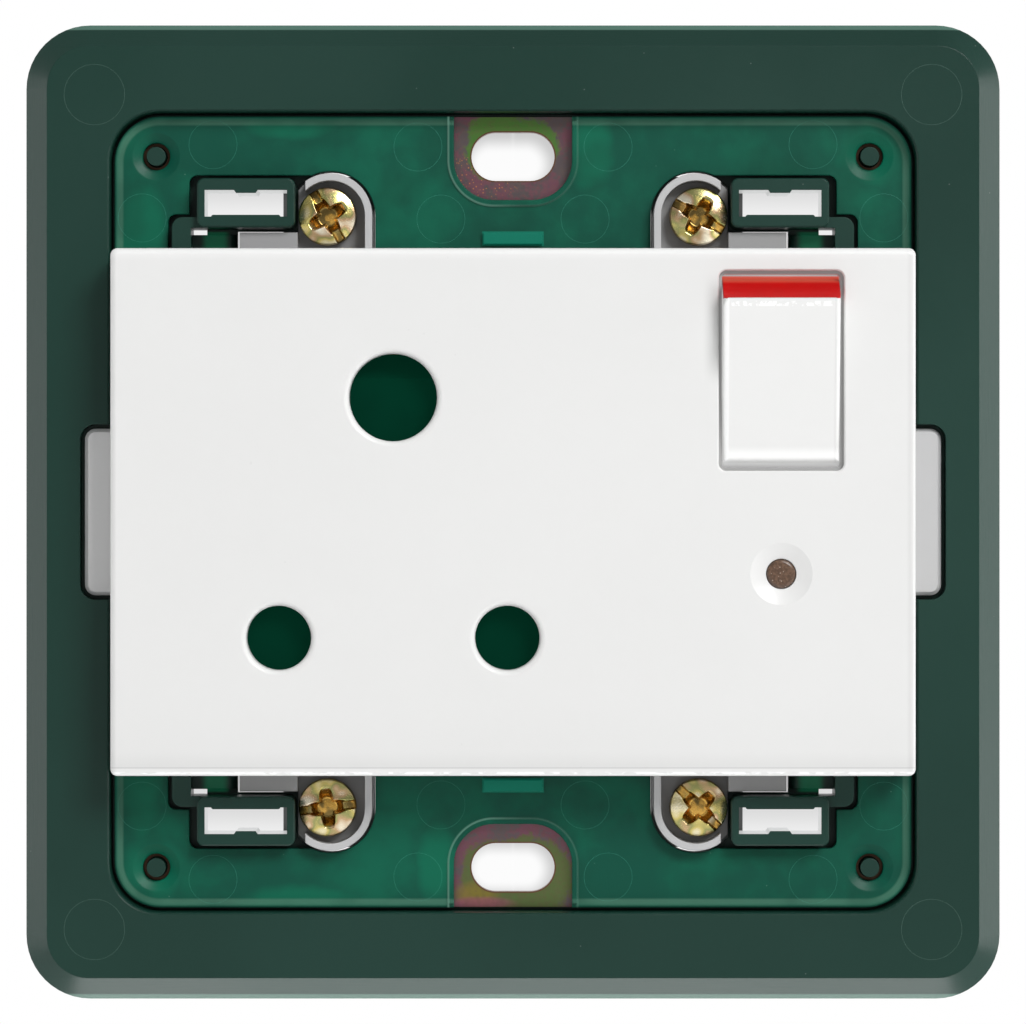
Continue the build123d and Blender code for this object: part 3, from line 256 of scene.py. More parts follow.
def seen(red: float, green: float, blue: float, light: float = 1.07, gloss: float = 0.012) -> Colour:
    """Colour of a surface that shows as an sRGB colour in this studio.

    Args:
        red: Red from 0 to 255, as green and blue.
        green: Green.
        blue: Blue.
        light: How bright white paper shows there.
        gloss: What the surface mirrors besides its own colour.

    Returns:
        The colour, (shown - gloss) / light.
    """
    shown = np.array(srgb(red, green, blue)[:3])
    own = np.clip((shown - gloss) / light, 0.0, 1.0)
    return (float(own[0]), float(own[1]), float(own[2]), 1.0)


@dataclass(frozen=True)
class Patch:
    """Oval in the view where a finish changes. Centre and half sizes are in millimetres."""

    x: float
    z: float
    half_x: float
    half_z: float
    soft: float = 0.9

    def mask(self, x: Signal, z: Signal, wobble: Signal | float = 0.0) -> Signal:
        """1 inside the oval and 0 outside, with its rim moved about by wobble."""
        across = (x - self.x) * (1.0 / self.half_x)
        along = (z - self.z) * (1.0 / self.half_z)
        return (across * across + along * along + wobble).step(1.0 + self.soft, 1.0 - self.soft)


@dataclass(frozen=True)
class MouldedPlastic:
    """Injection moulded plastic: an even body colour, a faint spark-eroded grain and a little dust.

    The colour drifts from body to haze over patches of patch millimetres. Glow is the share of its own
    colour that is painted on as a glow: painted light.
    """

    name: str
    body: Colour
    haze: Colour
    patch: float = 18.0
    roughness: float = 0.35
    roughness_drift: float = 0.06
    grain: float = 0.35
    grain_depth: float = 0.004
    edge: float = 0.12
    dust: float = 0.0
    dust_colour: Colour = (0.45, 0.5, 0.48, 1.0)
    ior: float = 1.45
    specular: float = 0.5
    glow: float = 0.0

    def tint(self, graph: Graph, colour: Signal, point: Signal) -> Signal:
        """Changes of the colour by place. A plain moulding has none."""
        return colour

    def relief(self, graph: Graph, point: Signal, fine: Signal) -> Signal:
        """Height of the surface from 0 to 1. A plain moulding has its grain alone."""
        return fine

    def painted_light(self, graph: Graph, colour: Signal, point: Signal) -> Signal:
        """Painted light: a glow painted on as emission. A plain moulding has its painted glow alone."""
        return graph.mix(self.glow, BLACK, colour)

    def paint(self) -> bpy.types.Material:
        """The material."""
        graph = Graph(self.name)
        point = graph.place()
        drift = graph.noise(point, self.patch, 2.0).step(0.35, 0.65)
        colour = self.tint(graph, graph.mix(drift, self.body, self.haze), point)
        if self.dust > 0:
            specks = graph.specks(point, 2.3, 0.07) * self.dust
            colour = graph.mix(specks, colour, self.dust_colour)
        fine = graph.noise(point, self.grain, 2.0)
        roughness = drift * self.roughness_drift + (fine * 0.1 + (self.roughness - 0.05))
        return graph.finish(
            base_color=colour,
            roughness=roughness,
            ior=self.ior,
            specular_ior_level=self.specular,
            # Painted light: the emission is the painted glow and painted light that each finish sets.
            emission_color=self.painted_light(graph, colour, point),
            emission_strength=1.0,
            normal=graph.bump(self.relief(graph, point, fine), self.grain_depth, self.edge),
        )


@dataclass(frozen=True)
class FrameGreen(MouldedPlastic):
    """Green moulding whose bevels carry fine tool marks along each side.

    Spans are ranges of |x| or |z| in millimetres, as in the other finishes.
    """

    bevel_start: float = 39.3
    rim_start: float = 40.72
    tongue_x: Span = (24.3, 26.2)
    tongue_end: float = 23.9
    window_x: Span = (18.95, 26.1)
    window_z: Span = (24.85, 27.25)
    tongue_painted_light: Colour = srgb(0, 122, 82)

    def tongue(self, across: Signal, along: Signal, soft: float) -> Signal:
        """1 on the latch tongues and 0 elsewhere."""
        return across.window(*self.tongue_x, soft) * along.step(self.tongue_end, self.tongue_end - 0.2)

    def tint(self, graph: Graph, colour: Signal, point: Signal) -> Signal:
        """A painted highlight line along the outer rim, above and below, and the thin latch tongues painted
        lighter.
        """
        x, _, z = graph.split(point)
        across, along = abs(x), abs(z)
        # Painted highlight along the outer rim, above and below.
        line = along.step(self.rim_start, self.rim_start + 0.14)
        colour = graph.mix(line * 0.55, colour, srgb(104, 142, 128))
        # Latch tongues a lighter green: partly their own colour, partly painted light in the shade they lie in.
        return graph.mix(self.tongue(across, along, 0.5) * 0.5, colour, self.tongue_painted_light)

    def painted_light(self, graph: Graph, colour: Signal, point: Signal) -> Signal:
        """Painted light: a white glow on the walls of the catch windows, and a painted green glow on the thin
        tongues.
        """
        x, y, z = graph.split(point)
        across, along = abs(x), abs(z)
        # Painted white glow on the walls of the catch windows.
        wall = across.window(*self.window_x, 0.03) * along.window(*self.window_z, 0.03) * y.step(-5.0, -4.9)
        light = graph.mix(wall * 0.45, BLACK, WHITE)
        # Painted green glow on the tongues.
        tongue = self.tongue(across, along, 0.3) * y.step(-0.8, -1.2)
        return graph.mix(tongue * 0.16, light, self.tongue_painted_light)

    def relief(self, graph: Graph, point: Signal, fine: Signal) -> Signal:
        """The grain, and streaks along the bevels."""
        x, _, z = graph.split(point)
        upright = abs(x).step(self.bevel_start - 0.1, self.bevel_start)
        level = abs(z).step(self.bevel_start - 0.1, self.bevel_start)
        marks = graph.noise(point, 0.16, 2.0, (1, 1, 0.05)) * upright
        marks = marks + graph.noise(point, 0.16, 2.0, (0.05, 1, 1)) * level
        return fine * 0.5 + marks * 1.6


@dataclass(frozen=True)
class CoverWhite(MouldedPlastic):
    """White of the module's cover, with painted light and shade along its edges. Sizes are in millimetres."""

    half_x: float = 33.575
    half_z: float = 22.0
    strip: float = 0.73
    gap_x: Span = (16.9, 27.8)
    gap_z: Span = (3.0, 20.3)

    def tint(self, graph: Graph, colour: Signal, point: Signal) -> Signal:
        """Painted highlights on the top edge and the foot strip, painted shade low down, at the crease, on the
        right edge and in the opening, and the rocker's painted soft shadow.
        """
        x, _, z = graph.split(point)
        foot = self.strip - self.half_z
        above = z.step(foot - 0.04, foot + 0.04)
        # Painted shade on the lower part, stopping at the strip along the foot.
        low = z.step(-15.0, -20.5) * 0.02 + z.step(-19.8, foot) * 0.06
        colour = graph.mix(low * above, colour, BLACK)
        # Painted shade line at the crease above the strip.
        colour = graph.mix(z.window(foot - 0.1, foot + 0.02, 0.04) * 0.2, colour, BLACK)
        # Painted highlight on the top edge.
        colour = graph.mix(z.step(self.half_z - 1.1, self.half_z - 0.2) * 0.3, colour, WHITE)
        # Painted shade along the right edge.
        colour = graph.mix(x.step(self.half_x - 0.9, self.half_x - 0.25) * 0.14, colour, BLACK)
        # Painted speckled highlights on the strip along the foot.
        wave = graph.noise(point, 0.5, 2.0, (0.5, 1, 1)).step(0.42, 0.55)
        line = z.window(0.16 - self.half_z, 0.34 - self.half_z, 0.08)
        colour = graph.mix(line * wave, colour, WHITE)
        # The rocker's painted soft shadow.
        cast = x.step(15.7, 17.1) * x.step(17.3, 17.15) * z.window(11.8, 18.6, 1.6)
        colour = graph.mix(cast * 0.36, colour, BLACK)
        # Painted shade down in the rocker's opening.
        return graph.mix(self.ledge(graph, point) * 0.58, colour, BLACK)

    def ledge(self, graph: Graph, point: Signal) -> Signal:
        """1 down in the rocker's opening and 0 on the face."""
        x, y, z = graph.split(point)
        near = x.window(*self.gap_x, 0.05) * z.window(*self.gap_z, 0.05)
        return near * y.step(-10.38, -10.25)

    def painted_light(self, graph: Graph, colour: Signal, point: Signal) -> Signal:
        """Painted light: a faint grey glow down in the gap round the rocker."""
        return graph.mix(self.ledge(graph, point), BLACK, (0.075, 0.075, 0.075, 1.0))


@dataclass(frozen=True)
class RockerWhite(MouldedPlastic):
    """White of the rocker, with a painted sparkling highlight line under the red mark."""

    middle: float = 22.35
    half_width: float = 4.5

    def tint(self, graph: Graph, colour: Signal, point: Signal) -> Signal:
        """The painted highlight line under the mark, a painted highlight along the left edge and painted shade
        along the right edge.
        """
        x, _, z = graph.split(point)
        # Painted shade along the right edge.
        right_rim = (x - (self.middle + self.half_width)).window(-0.1, 0.08, 0.05) * 0.10
        colour = graph.mix(right_rim, colour, BLACK)
        # Painted highlight along the left edge.
        left_rim = (x - (self.middle - self.half_width)).window(-0.25, 0.1, 0.06) * 0.7
        colour = graph.mix(left_rim, colour, WHITE)
        # Painted sparkling highlight line under the mark.
        spark = graph.noise(point, 0.35, 2.0).step(0.45, 0.6)
        line = z.window(17.1, 17.5, 0.06) * (x - self.middle).window(-4.2, 4.2, 0.1)
        return graph.mix(line * spark, colour, WHITE)

    def painted_light(self, graph: Graph, colour: Signal, point: Signal) -> Signal:
        """Painted light: a glow on the thin lower end and, less, down the sides in the gap."""
        x, y, z = graph.split(point)
        share = (z.step(5.6, 4.6) * 0.16).larger(y.step(-9.9, -9.5) * 0.3)
        share = share.larger((self.middle - x).step(4.35, 4.8) * 0.2)
        return graph.mix(share, BLACK, WHITE)


@dataclass(frozen=True)
class RedMark(MouldedPlastic):
    """Red of the rocker's mark, with a painted highlight along its rounded top."""

    def tint(self, graph: Graph, colour: Signal, point: Signal) -> Signal:
        """The painted highlight along the top."""
        _, _, z = graph.split(point)
        # Painted highlight along the rounded top.
        colour = graph.mix(z.step(19.0, 19.45) * 0.7, colour, srgb(214, 110, 84))
        return graph.mix(z.step(17.78, 17.70), colour, seen(243, 243, 242))

    def painted_light(self, graph: Graph, colour: Signal, point: Signal) -> Signal:
        """Painted light: a glow on the thin rounded top, which is grey where it meets the gap."""
        _, _, z = graph.split(point)
        top = graph.mix(z.step(19.3, 19.6), srgb(70, 26, 20), srgb(176, 66, 52))
        return graph.mix(z.step(18.9, 19.5), BLACK, top)


@dataclass(frozen=True)
class HousingGrey(MouldedPlastic):
    """Light grey housing, with painted shade between the terminal walls, by the cover's top and bottom edges and
    on the right ear, and painted light on the left ear.
    """

    def tint(self, graph: Graph, colour: Signal, point: Signal) -> Signal:
        """Painted shade down between the tower walls and by the cover's top and bottom edges, a little painted
        shade on the right ear and painted light on the left ear.
        """
        x, y, z = graph.split(point)
        # Painted shade down between the tower walls.
        deep = y.step(-2.6, -1.4) * y.step(1.5, 1.0)
        colour = graph.mix(deep * 0.75, colour, srgb(74, 76, 76))
        # Painted shadow of the cover's top and bottom edges.
        shoulder = abs(z).step(21.4, 21.8) * y.step(-4.6, -4.3)
        colour = graph.mix(shoulder * (1.0 - deep) * 0.45, colour, BLACK)
        # A little painted shade on the right ear.
        colour = graph.mix(x.step(32.0, 34.0) * 0.10, colour, BLACK)
        # Painted light on the left ear, which lies in the cover's shade.
        return graph.mix(x.step(-32.0, -34.0) * 0.5, colour, WHITE)

    def painted_light(self, graph: Graph, colour: Signal, point: Signal) -> Signal:
        """Painted light: a grey glow under the rocker's gap."""
        x, y, z = graph.split(point)
        below = x.window(16.6, 28.0, 0.2) * z.window(2.6, 20.6, 0.2) * y.step(-1.0, -2.0)
        return graph.mix(below, BLACK, (0.24, 0.24, 0.24, 1.0))


@dataclass(frozen=True)
class SheetPlastic:
    """Green sheet plastic of a fuller green in patches where less haze lies on it; its paler rim is a painted
    highlight, and the rim, tabs and window lips glow with painted light.

    Its rim is paler. The distance from the edge is that of a rounded rectangle,
    d = |(max(|x| - a, 0), max(|z| - b, 0))| - r.
    """

    name: str
    deep: Colour
    full: Colour
    dull: Colour
    roughness: float = 0.42
    full_places: tuple[Patch, ...] = ()
    tab_z: float = 23.15
    tab_half: Span = (2.6, 0.6)
    half_x: float = 33.75
    half_z: float = 33.5
    corner: float = 3.9
    window_x: float = 1.6
    window_z: float = 29.8
    lip_reach: Span = (3.79, 3.95)

    def paint(self) -> bpy.types.Material:
        """The material."""
        graph = Graph(self.name)
        point = graph.place()
        x, _, z = graph.split(point)
        broad = graph.noise(point, 8.0, 2.0)
        fine = graph.noise(point, 1.6, 3.0)
        glow = (broad * 0.7 + fine * 0.3).step(0.42, 0.68) * 0.4
        wobble = (broad - 0.5) * 2.5 + (fine - 0.5)
        for place in self.full_places:
            glow = glow.larger(place.mask(x, z, wobble) * 0.6)
        half_x, half_z = self.tab_half
        tab = abs(z).window(self.tab_z - half_z, self.tab_z + half_z, 0.05) * x.window(-half_x, half_x, 0.05)
        glow = glow.larger(tab)
        colour = graph.mix(glow, self.dull, self.full)
        corner_x = (abs(x) - (self.half_x - self.corner)).larger(0.0)
        corner_z = (abs(z) - (self.half_z - self.corner)).larger(0.0)
        rim = corner_x.length(corner_z) - self.corner
        # Painted highlight: the rim a paler green.
        colour = graph.mix(rim.window(-0.75, -0.1, 0.12) * 0.6, colour, srgb(84, 134, 112))
        cloud = graph.noise(point, 5.0, 2.0).step(0.5, 0.7)
        colour = graph.mix(cloud * 0.35, colour, self.deep)
        colour = graph.mix(tab, colour, srgb(0, 104, 84))
        colour = graph.mix(graph.specks(point, 1.9, 0.06) * 0.45, colour, srgb(120, 170, 150))
        grain = graph.noise(point, 0.25, 2.0)
        # Painted light: a glow on the rim and on the tabs.
        light = graph.mix(rim.step(-0.55, -0.15), BLACK, srgb(8, 46, 36))
        light = graph.mix(tab, light, srgb(0, 52, 40))
        # Painted highlight along the lips of the slot windows, stronger on the left.
        side = (abs(x) - self.window_x).larger(0.0)
        end = (self.window_z - abs(z)).larger(0.0)
        lip = side.length(end).window(*self.lip_reach, 0.06) * x.step(9.0, 8.0)
        lip = lip * x.step(-9.0, -8.0) * (x.step(1.5, -3.5) * 0.13 + 0.06)
        light = graph.mix(lip, light, srgb(170, 226, 204))
        return graph.finish(
            base_color=colour,
            emission_color=light,
            emission_strength=1.0,
            roughness=fine * 0.12 + (self.roughness - 0.06),
            ior=1.4,
            specular_ior_level=0.3,
            normal=graph.bump(grain * 0.5 + fine * 0.5, 0.010, 0.18),
        )


@dataclass(frozen=True)
class PlateSteel:
    """Steel plate under a yellow chromate film that turns green round the fixing slots.

    The distance from the rim of the nearer slot is that of a round-ended slot,
    d = |(max(|x| - a, 0), |z| - p)| - r.
    """

    name: str
    slot_z: float = 30.15
    slot_half: float = 1.47
    slot_radius: float = 2.06
    light: float = 0.56
    roughness: float = 0.36

    def shown(self, red: float, green: float, blue: float) -> Colour:
        """Film colour that shows as this sRGB colour."""
        return seen(red, green, blue, self.light, 0.0)

    def paint(self) -> bpy.types.Material:
        """The material."""
        graph = Graph(self.name)
        point = graph.place()
        x, _, z = graph.split(point)
        past = (abs(x) - self.slot_half).larger(0.0)
        off = abs(z) - self.slot_z
        rim = past.length(off) - self.slot_radius
        upper = z.step(-1.0, 1.0)
        wobble = graph.noise(point, 1.7, 3.0)
        mottle = graph.noise(point, 0.35, 3.0)
        drift = wobble * 0.6 + mottle * 0.4
        film = graph.mix(drift.step(0.42, 0.58), self.shown(80, 72, 74), self.shown(98, 64, 76))
        lean = off * (upper * 0.35 + 0.55) - x * (upper * 0.25 - 0.15)
        reach = lean * 0.5 + wobble * 1.9 + mottle * 1.5 - upper * 0.45 + 0.5
        band = (reach - rim * (upper * 0.5 + 1.0)).step(0.86, 1.58)
        leaf = graph.mix(upper, self.shown(74, 90, 50), self.shown(66, 106, 46))
        film = graph.mix(band * 0.9, film, leaf)
        patch = Patch(-3.1, -32.4, 1.7, 1.0).mask(x, z, wobble - 0.5)
        film = graph.mix(patch * 0.8, film, self.shown(112, 98, 44))
        edge = Patch(-2.6, -33.2, 2.4, 0.5).mask(x, z, wobble - 0.5)
        film = graph.mix(edge * 0.7, film, self.shown(130, 70, 90))
        spots = graph.specks(point, 0.26, 0.08) * Patch(-2.9, 28.4, 3.2, 1.7).mask(x, z)
        film = graph.mix(spots * 0.7, film, self.shown(190, 124, 66))
        film = graph.mix(mottle.step(0.3, 0.75) * 0.3, film, self.shown(84, 72, 58))
        film = graph.mix(rim.step(0.16, 0.06), film, self.shown(84, 58, 44))
        film = graph.mix(abs(x).step(12.0, 20.0), film, self.shown(44, 33, 25))
        return graph.finish(
            base_color=film,
            metallic=1.0,
            roughness=mottle * 0.16 + (self.roughness - 0.08),
            normal=graph.bump(mottle, 0.004),
        )


@dataclass(frozen=True)
class PassivatedSteel:
    """Plated screw steel whose yellow film breaks into cream, green and pink by its thickness, with its light and
    dark patches partly a painted reflection.
    """

    name: str
    stops: tuple[tuple[float, Colour], ...]
    recess: Colour
    recess_dark: Colour
    band: float = 1.6
    roughness: float = 0.24
    metallic: float = 1.0

    def paint(self) -> bpy.types.Material:
        """The material."""
        graph = Graph(self.name)
        point = graph.place()
        film = graph.noise(point, self.band, 1.0)
        # Film colours: partly the film's own, and partly a painted reflection in their light and dark patches.
        colour = graph.node("ShaderNodeValToRGB", {"stops": list(self.stops)}, {"Fac": film.step(0.2, 0.8)})
        _, y, _ = graph.split(point)
        floor = graph.mix(graph.noise(point, 0.8, 1.0).step(0.4, 0.6), self.recess, self.recess_dark)
        colour = graph.mix(y.window(-3.5, -2.0, 0.2), colour, floor)
        grain = graph.noise(point, 0.12, 2.0)
        return graph.finish(
            base_color=colour,
            metallic=self.metallic,
            roughness=grain * 0.2 + (self.roughness - 0.1),
            normal=graph.bump(grain, 0.008),
        )


@dataclass(frozen=True)
class DrawnMetal:
    """Drawn or pressed metal with fine streaks along one axis."""

    name: str
    bright: Colour
    dark: Colour
    stretch: tuple = (1, 1, 0.1)
    roughness: float = 0.3

    def paint(self) -> bpy.types.Material:
        """The material."""
        graph = Graph(self.name)
        point = graph.place()
        streaks = graph.noise(point, 0.3, 3.0, self.stretch)
        stain = graph.noise(point, 3.0, 2.0)
        colour = graph.mix((streaks * 0.4 + stain * 0.6).step(0.3, 0.75), self.bright, self.dark)
        return graph.finish(
            base_color=colour,
            metallic=1.0,
            roughness=streaks * 0.2 + (self.roughness - 0.1),
            normal=graph.bump(streaks, 0.006),
        )


@dataclass(frozen=True)
class SmokedLens:
    """Brown smoked lens with a grainy back and painted sparkle glints."""

    name: str
    body: Colour
    grit: Colour

    def paint(self) -> bpy.types.Material:
        """The material."""
        graph = Graph(self.name)
        point = graph.place()
        grains = graph.noise(point, 0.22, 4.0)
        colour = graph.mix(grains.step(0.35, 0.7), self.body, self.grit)
        # Painted glints: bright specks for the sparkle.
        sparkle = graph.specks(point, 0.3, 0.06)
        colour = graph.mix(sparkle * 0.5, colour, srgb(235, 220, 205))
        return graph.finish(
            base_color=colour,
            roughness=0.3,
            coat_weight=0.3,
            normal=graph.bump(grains, 0.02),
        )


@dataclass(frozen=True)
class LampGlass:
    """Clear glass of the neon lamp with a faint warm glow colour."""

    name: str

    def paint(self) -> bpy.types.Material:
        """The material."""
        graph = Graph(self.name)
        point = graph.place()
        ripple = graph.noise(point, 1.5, 2.0)
        colour = graph.mix(ripple, srgb(250, 236, 226), srgb(240, 214, 196))
        return graph.finish(
            base_color=colour,
            roughness=0.08,
            transmission_weight=0.8,
            normal=graph.bump(ripple, 0.01),
        )


class Finish(Enum):
    """The finishes of the object's pieces."""

    FRAME_GREEN = FrameGreen(
        "frame_green", srgb(14, 51, 42), srgb(17, 54, 45), patch=26.0, roughness=0.34, dust=0.25, edge=0.1,
        specular=0.36,
    )
    SHEET_GREEN = SheetPlastic(
        "sheet_green",
        seen(20, 74, 60),
        seen(0, 116, 86, gloss=0.0),
        seen(29, 84, 69),
        full_places=(
            Patch(-18.7, 32.9, 3.4, 1.2),
            Patch(-17.0, -33.0, 5.0, 1.2),
            Patch(6.6, 30.5, 1.6, 3.0),
            Patch(-6.6, -29.5, 1.6, 3.0),
            Patch(30.2, 30.1, 2.6, 2.6),
            # Painted light: the next two patches lift the shade by the ring's left side.
            Patch(-31.3, 23.5, 1.8, 4.0),
            Patch(-31.3, -23.0, 1.6, 4.5),
            Patch(-30.2, -30.1, 2.6, 2.6),
        ),
    )
    ZINC_STEEL = PlateSteel("zinc_steel")
    COVER_WHITE = CoverWhite(
        "white_plastic", seen(238, 238, 237), seen(239, 239, 238), roughness=0.3, roughness_drift=0.02, grain=0.9,
        grain_depth=0.002, edge=0.1,
    )
    ROCKER_WHITE = RockerWhite(
        "rocker_white", seen(243, 243, 242), seen(242, 242, 241), roughness=0.3, roughness_drift=0.02, grain=0.9,
        grain_depth=0.002, edge=0.1,
    )
    RED_PLASTIC = RedMark(
        "red_plastic", seen(205, 22, 22), seen(198, 22, 23), patch=4.0, roughness=0.34, grain_depth=0.002,
        edge=0.08, specular=0.3,
    )
    SMOKED_LENS = SmokedLens("smoked_lens", seen(88, 66, 52), seen(118, 92, 74))
    # The shutter glows with its whole colour: painted light that keeps the discs in the pin holes evenly lit.
    SHUTTER_GREEN = MouldedPlastic(
        "shutter_green", srgb(2, 36, 24), srgb(2, 33, 22), patch=8.0, roughness=0.8, edge=0.0, specular=0.0,
        glow=1.0,
    )
    HOUSING_GREY = HousingGrey(
        "grey_plastic", seen(208, 208, 208), seen(204, 204, 205), roughness=0.4, grain_depth=0.003, dust=0.1
    )
    SCREW_ZINC = PassivatedSteel(
        "screw_zinc",
        (
            (0.0, srgb(250, 240, 206)),
            (0.3, srgb(214, 196, 120)),
            (0.5, srgb(160, 160, 104)),
            (0.7, srgb(206, 172, 132)),
            (1.0, srgb(255, 248, 224)),
        ),
        srgb(214, 168, 84),
        srgb(124, 104, 60),
    )
    BRASS = DrawnMetal("brass", srgb(222, 190, 116), srgb(180, 142, 78))
    SPRING_STEEL = DrawnMetal("spring_steel", srgb(196, 198, 202), srgb(140, 142, 146), (1, 1, 1))
    LAMP_GLASS = LampGlass("lamp_glass")
    RESISTOR_COAT = MouldedPlastic("resistor_coat", srgb(206, 178, 132), srgb(196, 166, 120), roughness=0.4)


OWN_FINISHES = {"rocker": Finish.ROCKER_WHITE}


def build_mesh(name: str, points: np.ndarray, faces: np.ndarray, finish: bpy.types.Material) -> bpy.types.Object:
    """Makes a smooth shaded object of quads.

    Args:
        name: The object's name.
        points: Corner places in metres, one row each.
        faces: Corner numbers of each quad, one row each.
        finish: The material.

    Returns:
        The object, at the origin, with its place in its mesh.
    """
    mesh = bpy.data.meshes.new(name)
    mesh.vertices.add(len(points))
    mesh.vertices.foreach_set("co", points.astype(np.float32).ravel())
    mesh.loops.add(faces.size)
    mesh.loops.foreach_set("vertex_index", faces.astype(np.int32).ravel())
    mesh.polygons.add(len(faces))
    mesh.polygons.foreach_set("loop_start", np.arange(0, faces.size, faces.shape[1], dtype=np.int32))
    mesh.update(calc_edges=True)
    mesh.validate()
    mesh.polygons.foreach_set("use_smooth", np.ones(len(mesh.polygons), dtype=bool))
    mesh.materials.append(finish)
    made = bpy.data.objects.new(name, mesh)
    bpy.context.scene.collection.objects.link(made)
    return made


def grid_faces(rows: int, columns: int, closed_rows: bool = False, closed_columns: bool = False) -> np.ndarray:
    """Quads of a grid of points, numbered row by row.

    Args:
        rows: Number of rows of points.
        columns: Number of points in a row.
        closed_rows: Whether the last row joins the first.
        closed_columns: Whether the end of each row joins its start.

    Returns:
        Corner numbers of each quad.
    """
    row = np.arange(rows if closed_rows else rows - 1)
    column = np.arange(columns if closed_columns else columns - 1)
    r, c = np.meshgrid(row, column, indexing="ij")
    r_next, c_next = (r + 1) % rows, (c + 1) % columns
    corners = (r * columns + c, r * columns + c_next, r_next * columns + c_next, r_next * columns + c)
    return np.stack([corner.ravel() for corner in corners], axis=1)


def smooth_rise(value: np.ndarray, low: float, high: float) -> np.ndarray:
    """Smooth rise from 0 at low to 1 at high."""
    share = np.clip((value - low) / (high - low), 0.0, 1.0)
    return share * share * (3.0 - 2.0 * share)


@dataclass
class Studio:
    """Camera, lamps, floor and backdrop. Distances are in metres."""

    image_width: float = 1026.0
    camera_distance: float = 0.4455
    focal_pixels: float = 5224.35
    sensor: float = 36.0
    backdrop_y: float = 0.8
    floor_z: float = -0.35
    cove_radius: float = 0.25
    cove_half_width: float = 6.0
    cove_top: float = 1.4
    floor_front: float = -6.0
    world_level: float = 0.375

    def make_camera(self) -> None:
        """Camera straight in front of the object, square to the wall."""
        lens = bpy.data.cameras.new("front_camera")
        lens.sensor_width = self.sensor
        lens.lens = self.sensor * self.focal_pixels / self.image_width
        camera = bpy.data.objects.new("front_camera", lens)
        camera.location = (0.0, -self.camera_distance, 0.0)
        camera.rotation_euler = (np.pi / 2, 0.0, 0.0)
        bpy.context.scene.collection.objects.link(camera)
        bpy.context.scene.camera = camera

    def add_lamp(self, name: str, place: tuple, sides: tuple[float, float], radiance: float) -> None:
        """Soft lamp turned to the middle of the object, with power = pi * area * radiance.

        Args:
            name: The lamp's name.
            place: Its middle.
            sides: Its width and height.
            radiance: How bright it shows.
        """
        light = bpy.data.lights.new(name, "AREA")
        light.shape = "RECTANGLE"
        light.size, light.size_y = sides
        light.energy = np.pi * sides[0] * sides[1] * radiance
        lamp = bpy.data.objects.new(name, light)
        lamp.location = place
        lamp.rotation_mode = "QUATERNION"
        lamp.rotation_quaternion = lamp.location.to_track_quat("Z", "Y")
        lamp.visible_camera = False
        bpy.context.scene.collection.objects.link(lamp)

    def make_cove(self) -> None:
        """Floor and backdrop in one sheet: a level run, a quarter circle and an upright run."""
        turn = np.linspace(0.0, np.pi / 2, 17)
        arc_y = self.backdrop_y - self.cove_radius + self.cove_radius * np.sin(turn)
        arc_z = self.floor_z + self.cove_radius - self.cove_radius * np.cos(turn)
        y = np.concatenate([[self.floor_front], arc_y, [self.backdrop_y]])
        z = np.concatenate([[self.floor_z], arc_z, [self.cove_top]])
        x = np.linspace(-self.cove_half_width, self.cove_half_width, 5)
        grid_x, grid_y = np.meshgrid(x, y)
        grid_z = np.repeat(z[:, None], len(x), axis=1)
        points = np.stack([grid_x, grid_y, grid_z], axis=-1).reshape(-1, 3)
        cove = build_mesh("cove", points, grid_faces(len(y), len(x)), self.cove_finish())

    def cove_finish(self) -> bpy.types.Material:
        """Pale paper that shows as white to the camera and in gloss and glass."""
        graph = Graph("cove_paper")
        fibre = graph.noise(graph.place(), 40.0, 3.0)
        colour = graph.mix(fibre, (0.80, 0.80, 0.80, 1.0), (0.84, 0.84, 0.84, 1.0))
        paper = graph.node("ShaderNodeBsdfPrincipled", None, {"Base Color": colour, "Roughness": 0.9})
        white = graph.node("ShaderNodeEmission", None, {"Color": self.shade(graph), "Strength": 1.0})
        direct = graph.node("ShaderNodeLightPath", output="Is Camera Ray")
        glossy = graph.node("ShaderNodeLightPath", output="Is Glossy Ray")
        through = graph.node("ShaderNodeLightPath", output="Is Transmission Ray")
        share = direct.larger(glossy).larger(through)
        graph.node_output(graph.node("ShaderNodeMixShader", None, {0: share, 1: paper, 2: white}))
        return graph.material

    def shade(self, graph: Graph) -> Signal:
        """White paper with a painted soft shadow where it shows through the catch windows and the fixing slots.

        The places are in millimetres on the backdrop, where the camera sees the openings.
        """
        x, _, z = graph.split(graph.place())
        across, along = abs(x), abs(z)
        # Painted shadow behind the catch windows, darker towards the top.
        down = graph.mix(z.step(-1.0, 1.0), z.step(-70.5, -77.0), z.step(77.0, 70.5))
        grey = graph.mix(down, srgb(220, 220, 220), srgb(238, 238, 238))
        windows = across.window(48.0, 82.0, 2.0) * along.window(62.0, 84.0, 2.0)
        slots = across.window(-1.0, 26.0, 2.0) * along.window(76.0, 92.0, 2.0)
        # Painted shadow behind the fixing slots, darker towards their edges.
        rise = z - (z.step(-1.0, 1.0) * 168.0 - 85.2)
        past = (abs(x + 1.2) - 4.1).larger(0.0)
        edge = past.length(rise).step(2.6, 7.4)
        soft = graph.mix(edge, srgb(252, 252, 252), srgb(204, 204, 204))
        paper = graph.mix(slots, WHITE, soft)
        return graph.mix(windows, paper, grey)

    def make_world(self) -> None:
        """Even grey surroundings."""
        world = bpy.data.worlds.new("studio_air")
        world.use_nodes = True
        ground = world.node_tree.nodes["Background"]
        ground.inputs["Color"].default_value = WHITE
        ground.inputs["Strength"].default_value = self.world_level
        bpy.context.scene.world = world

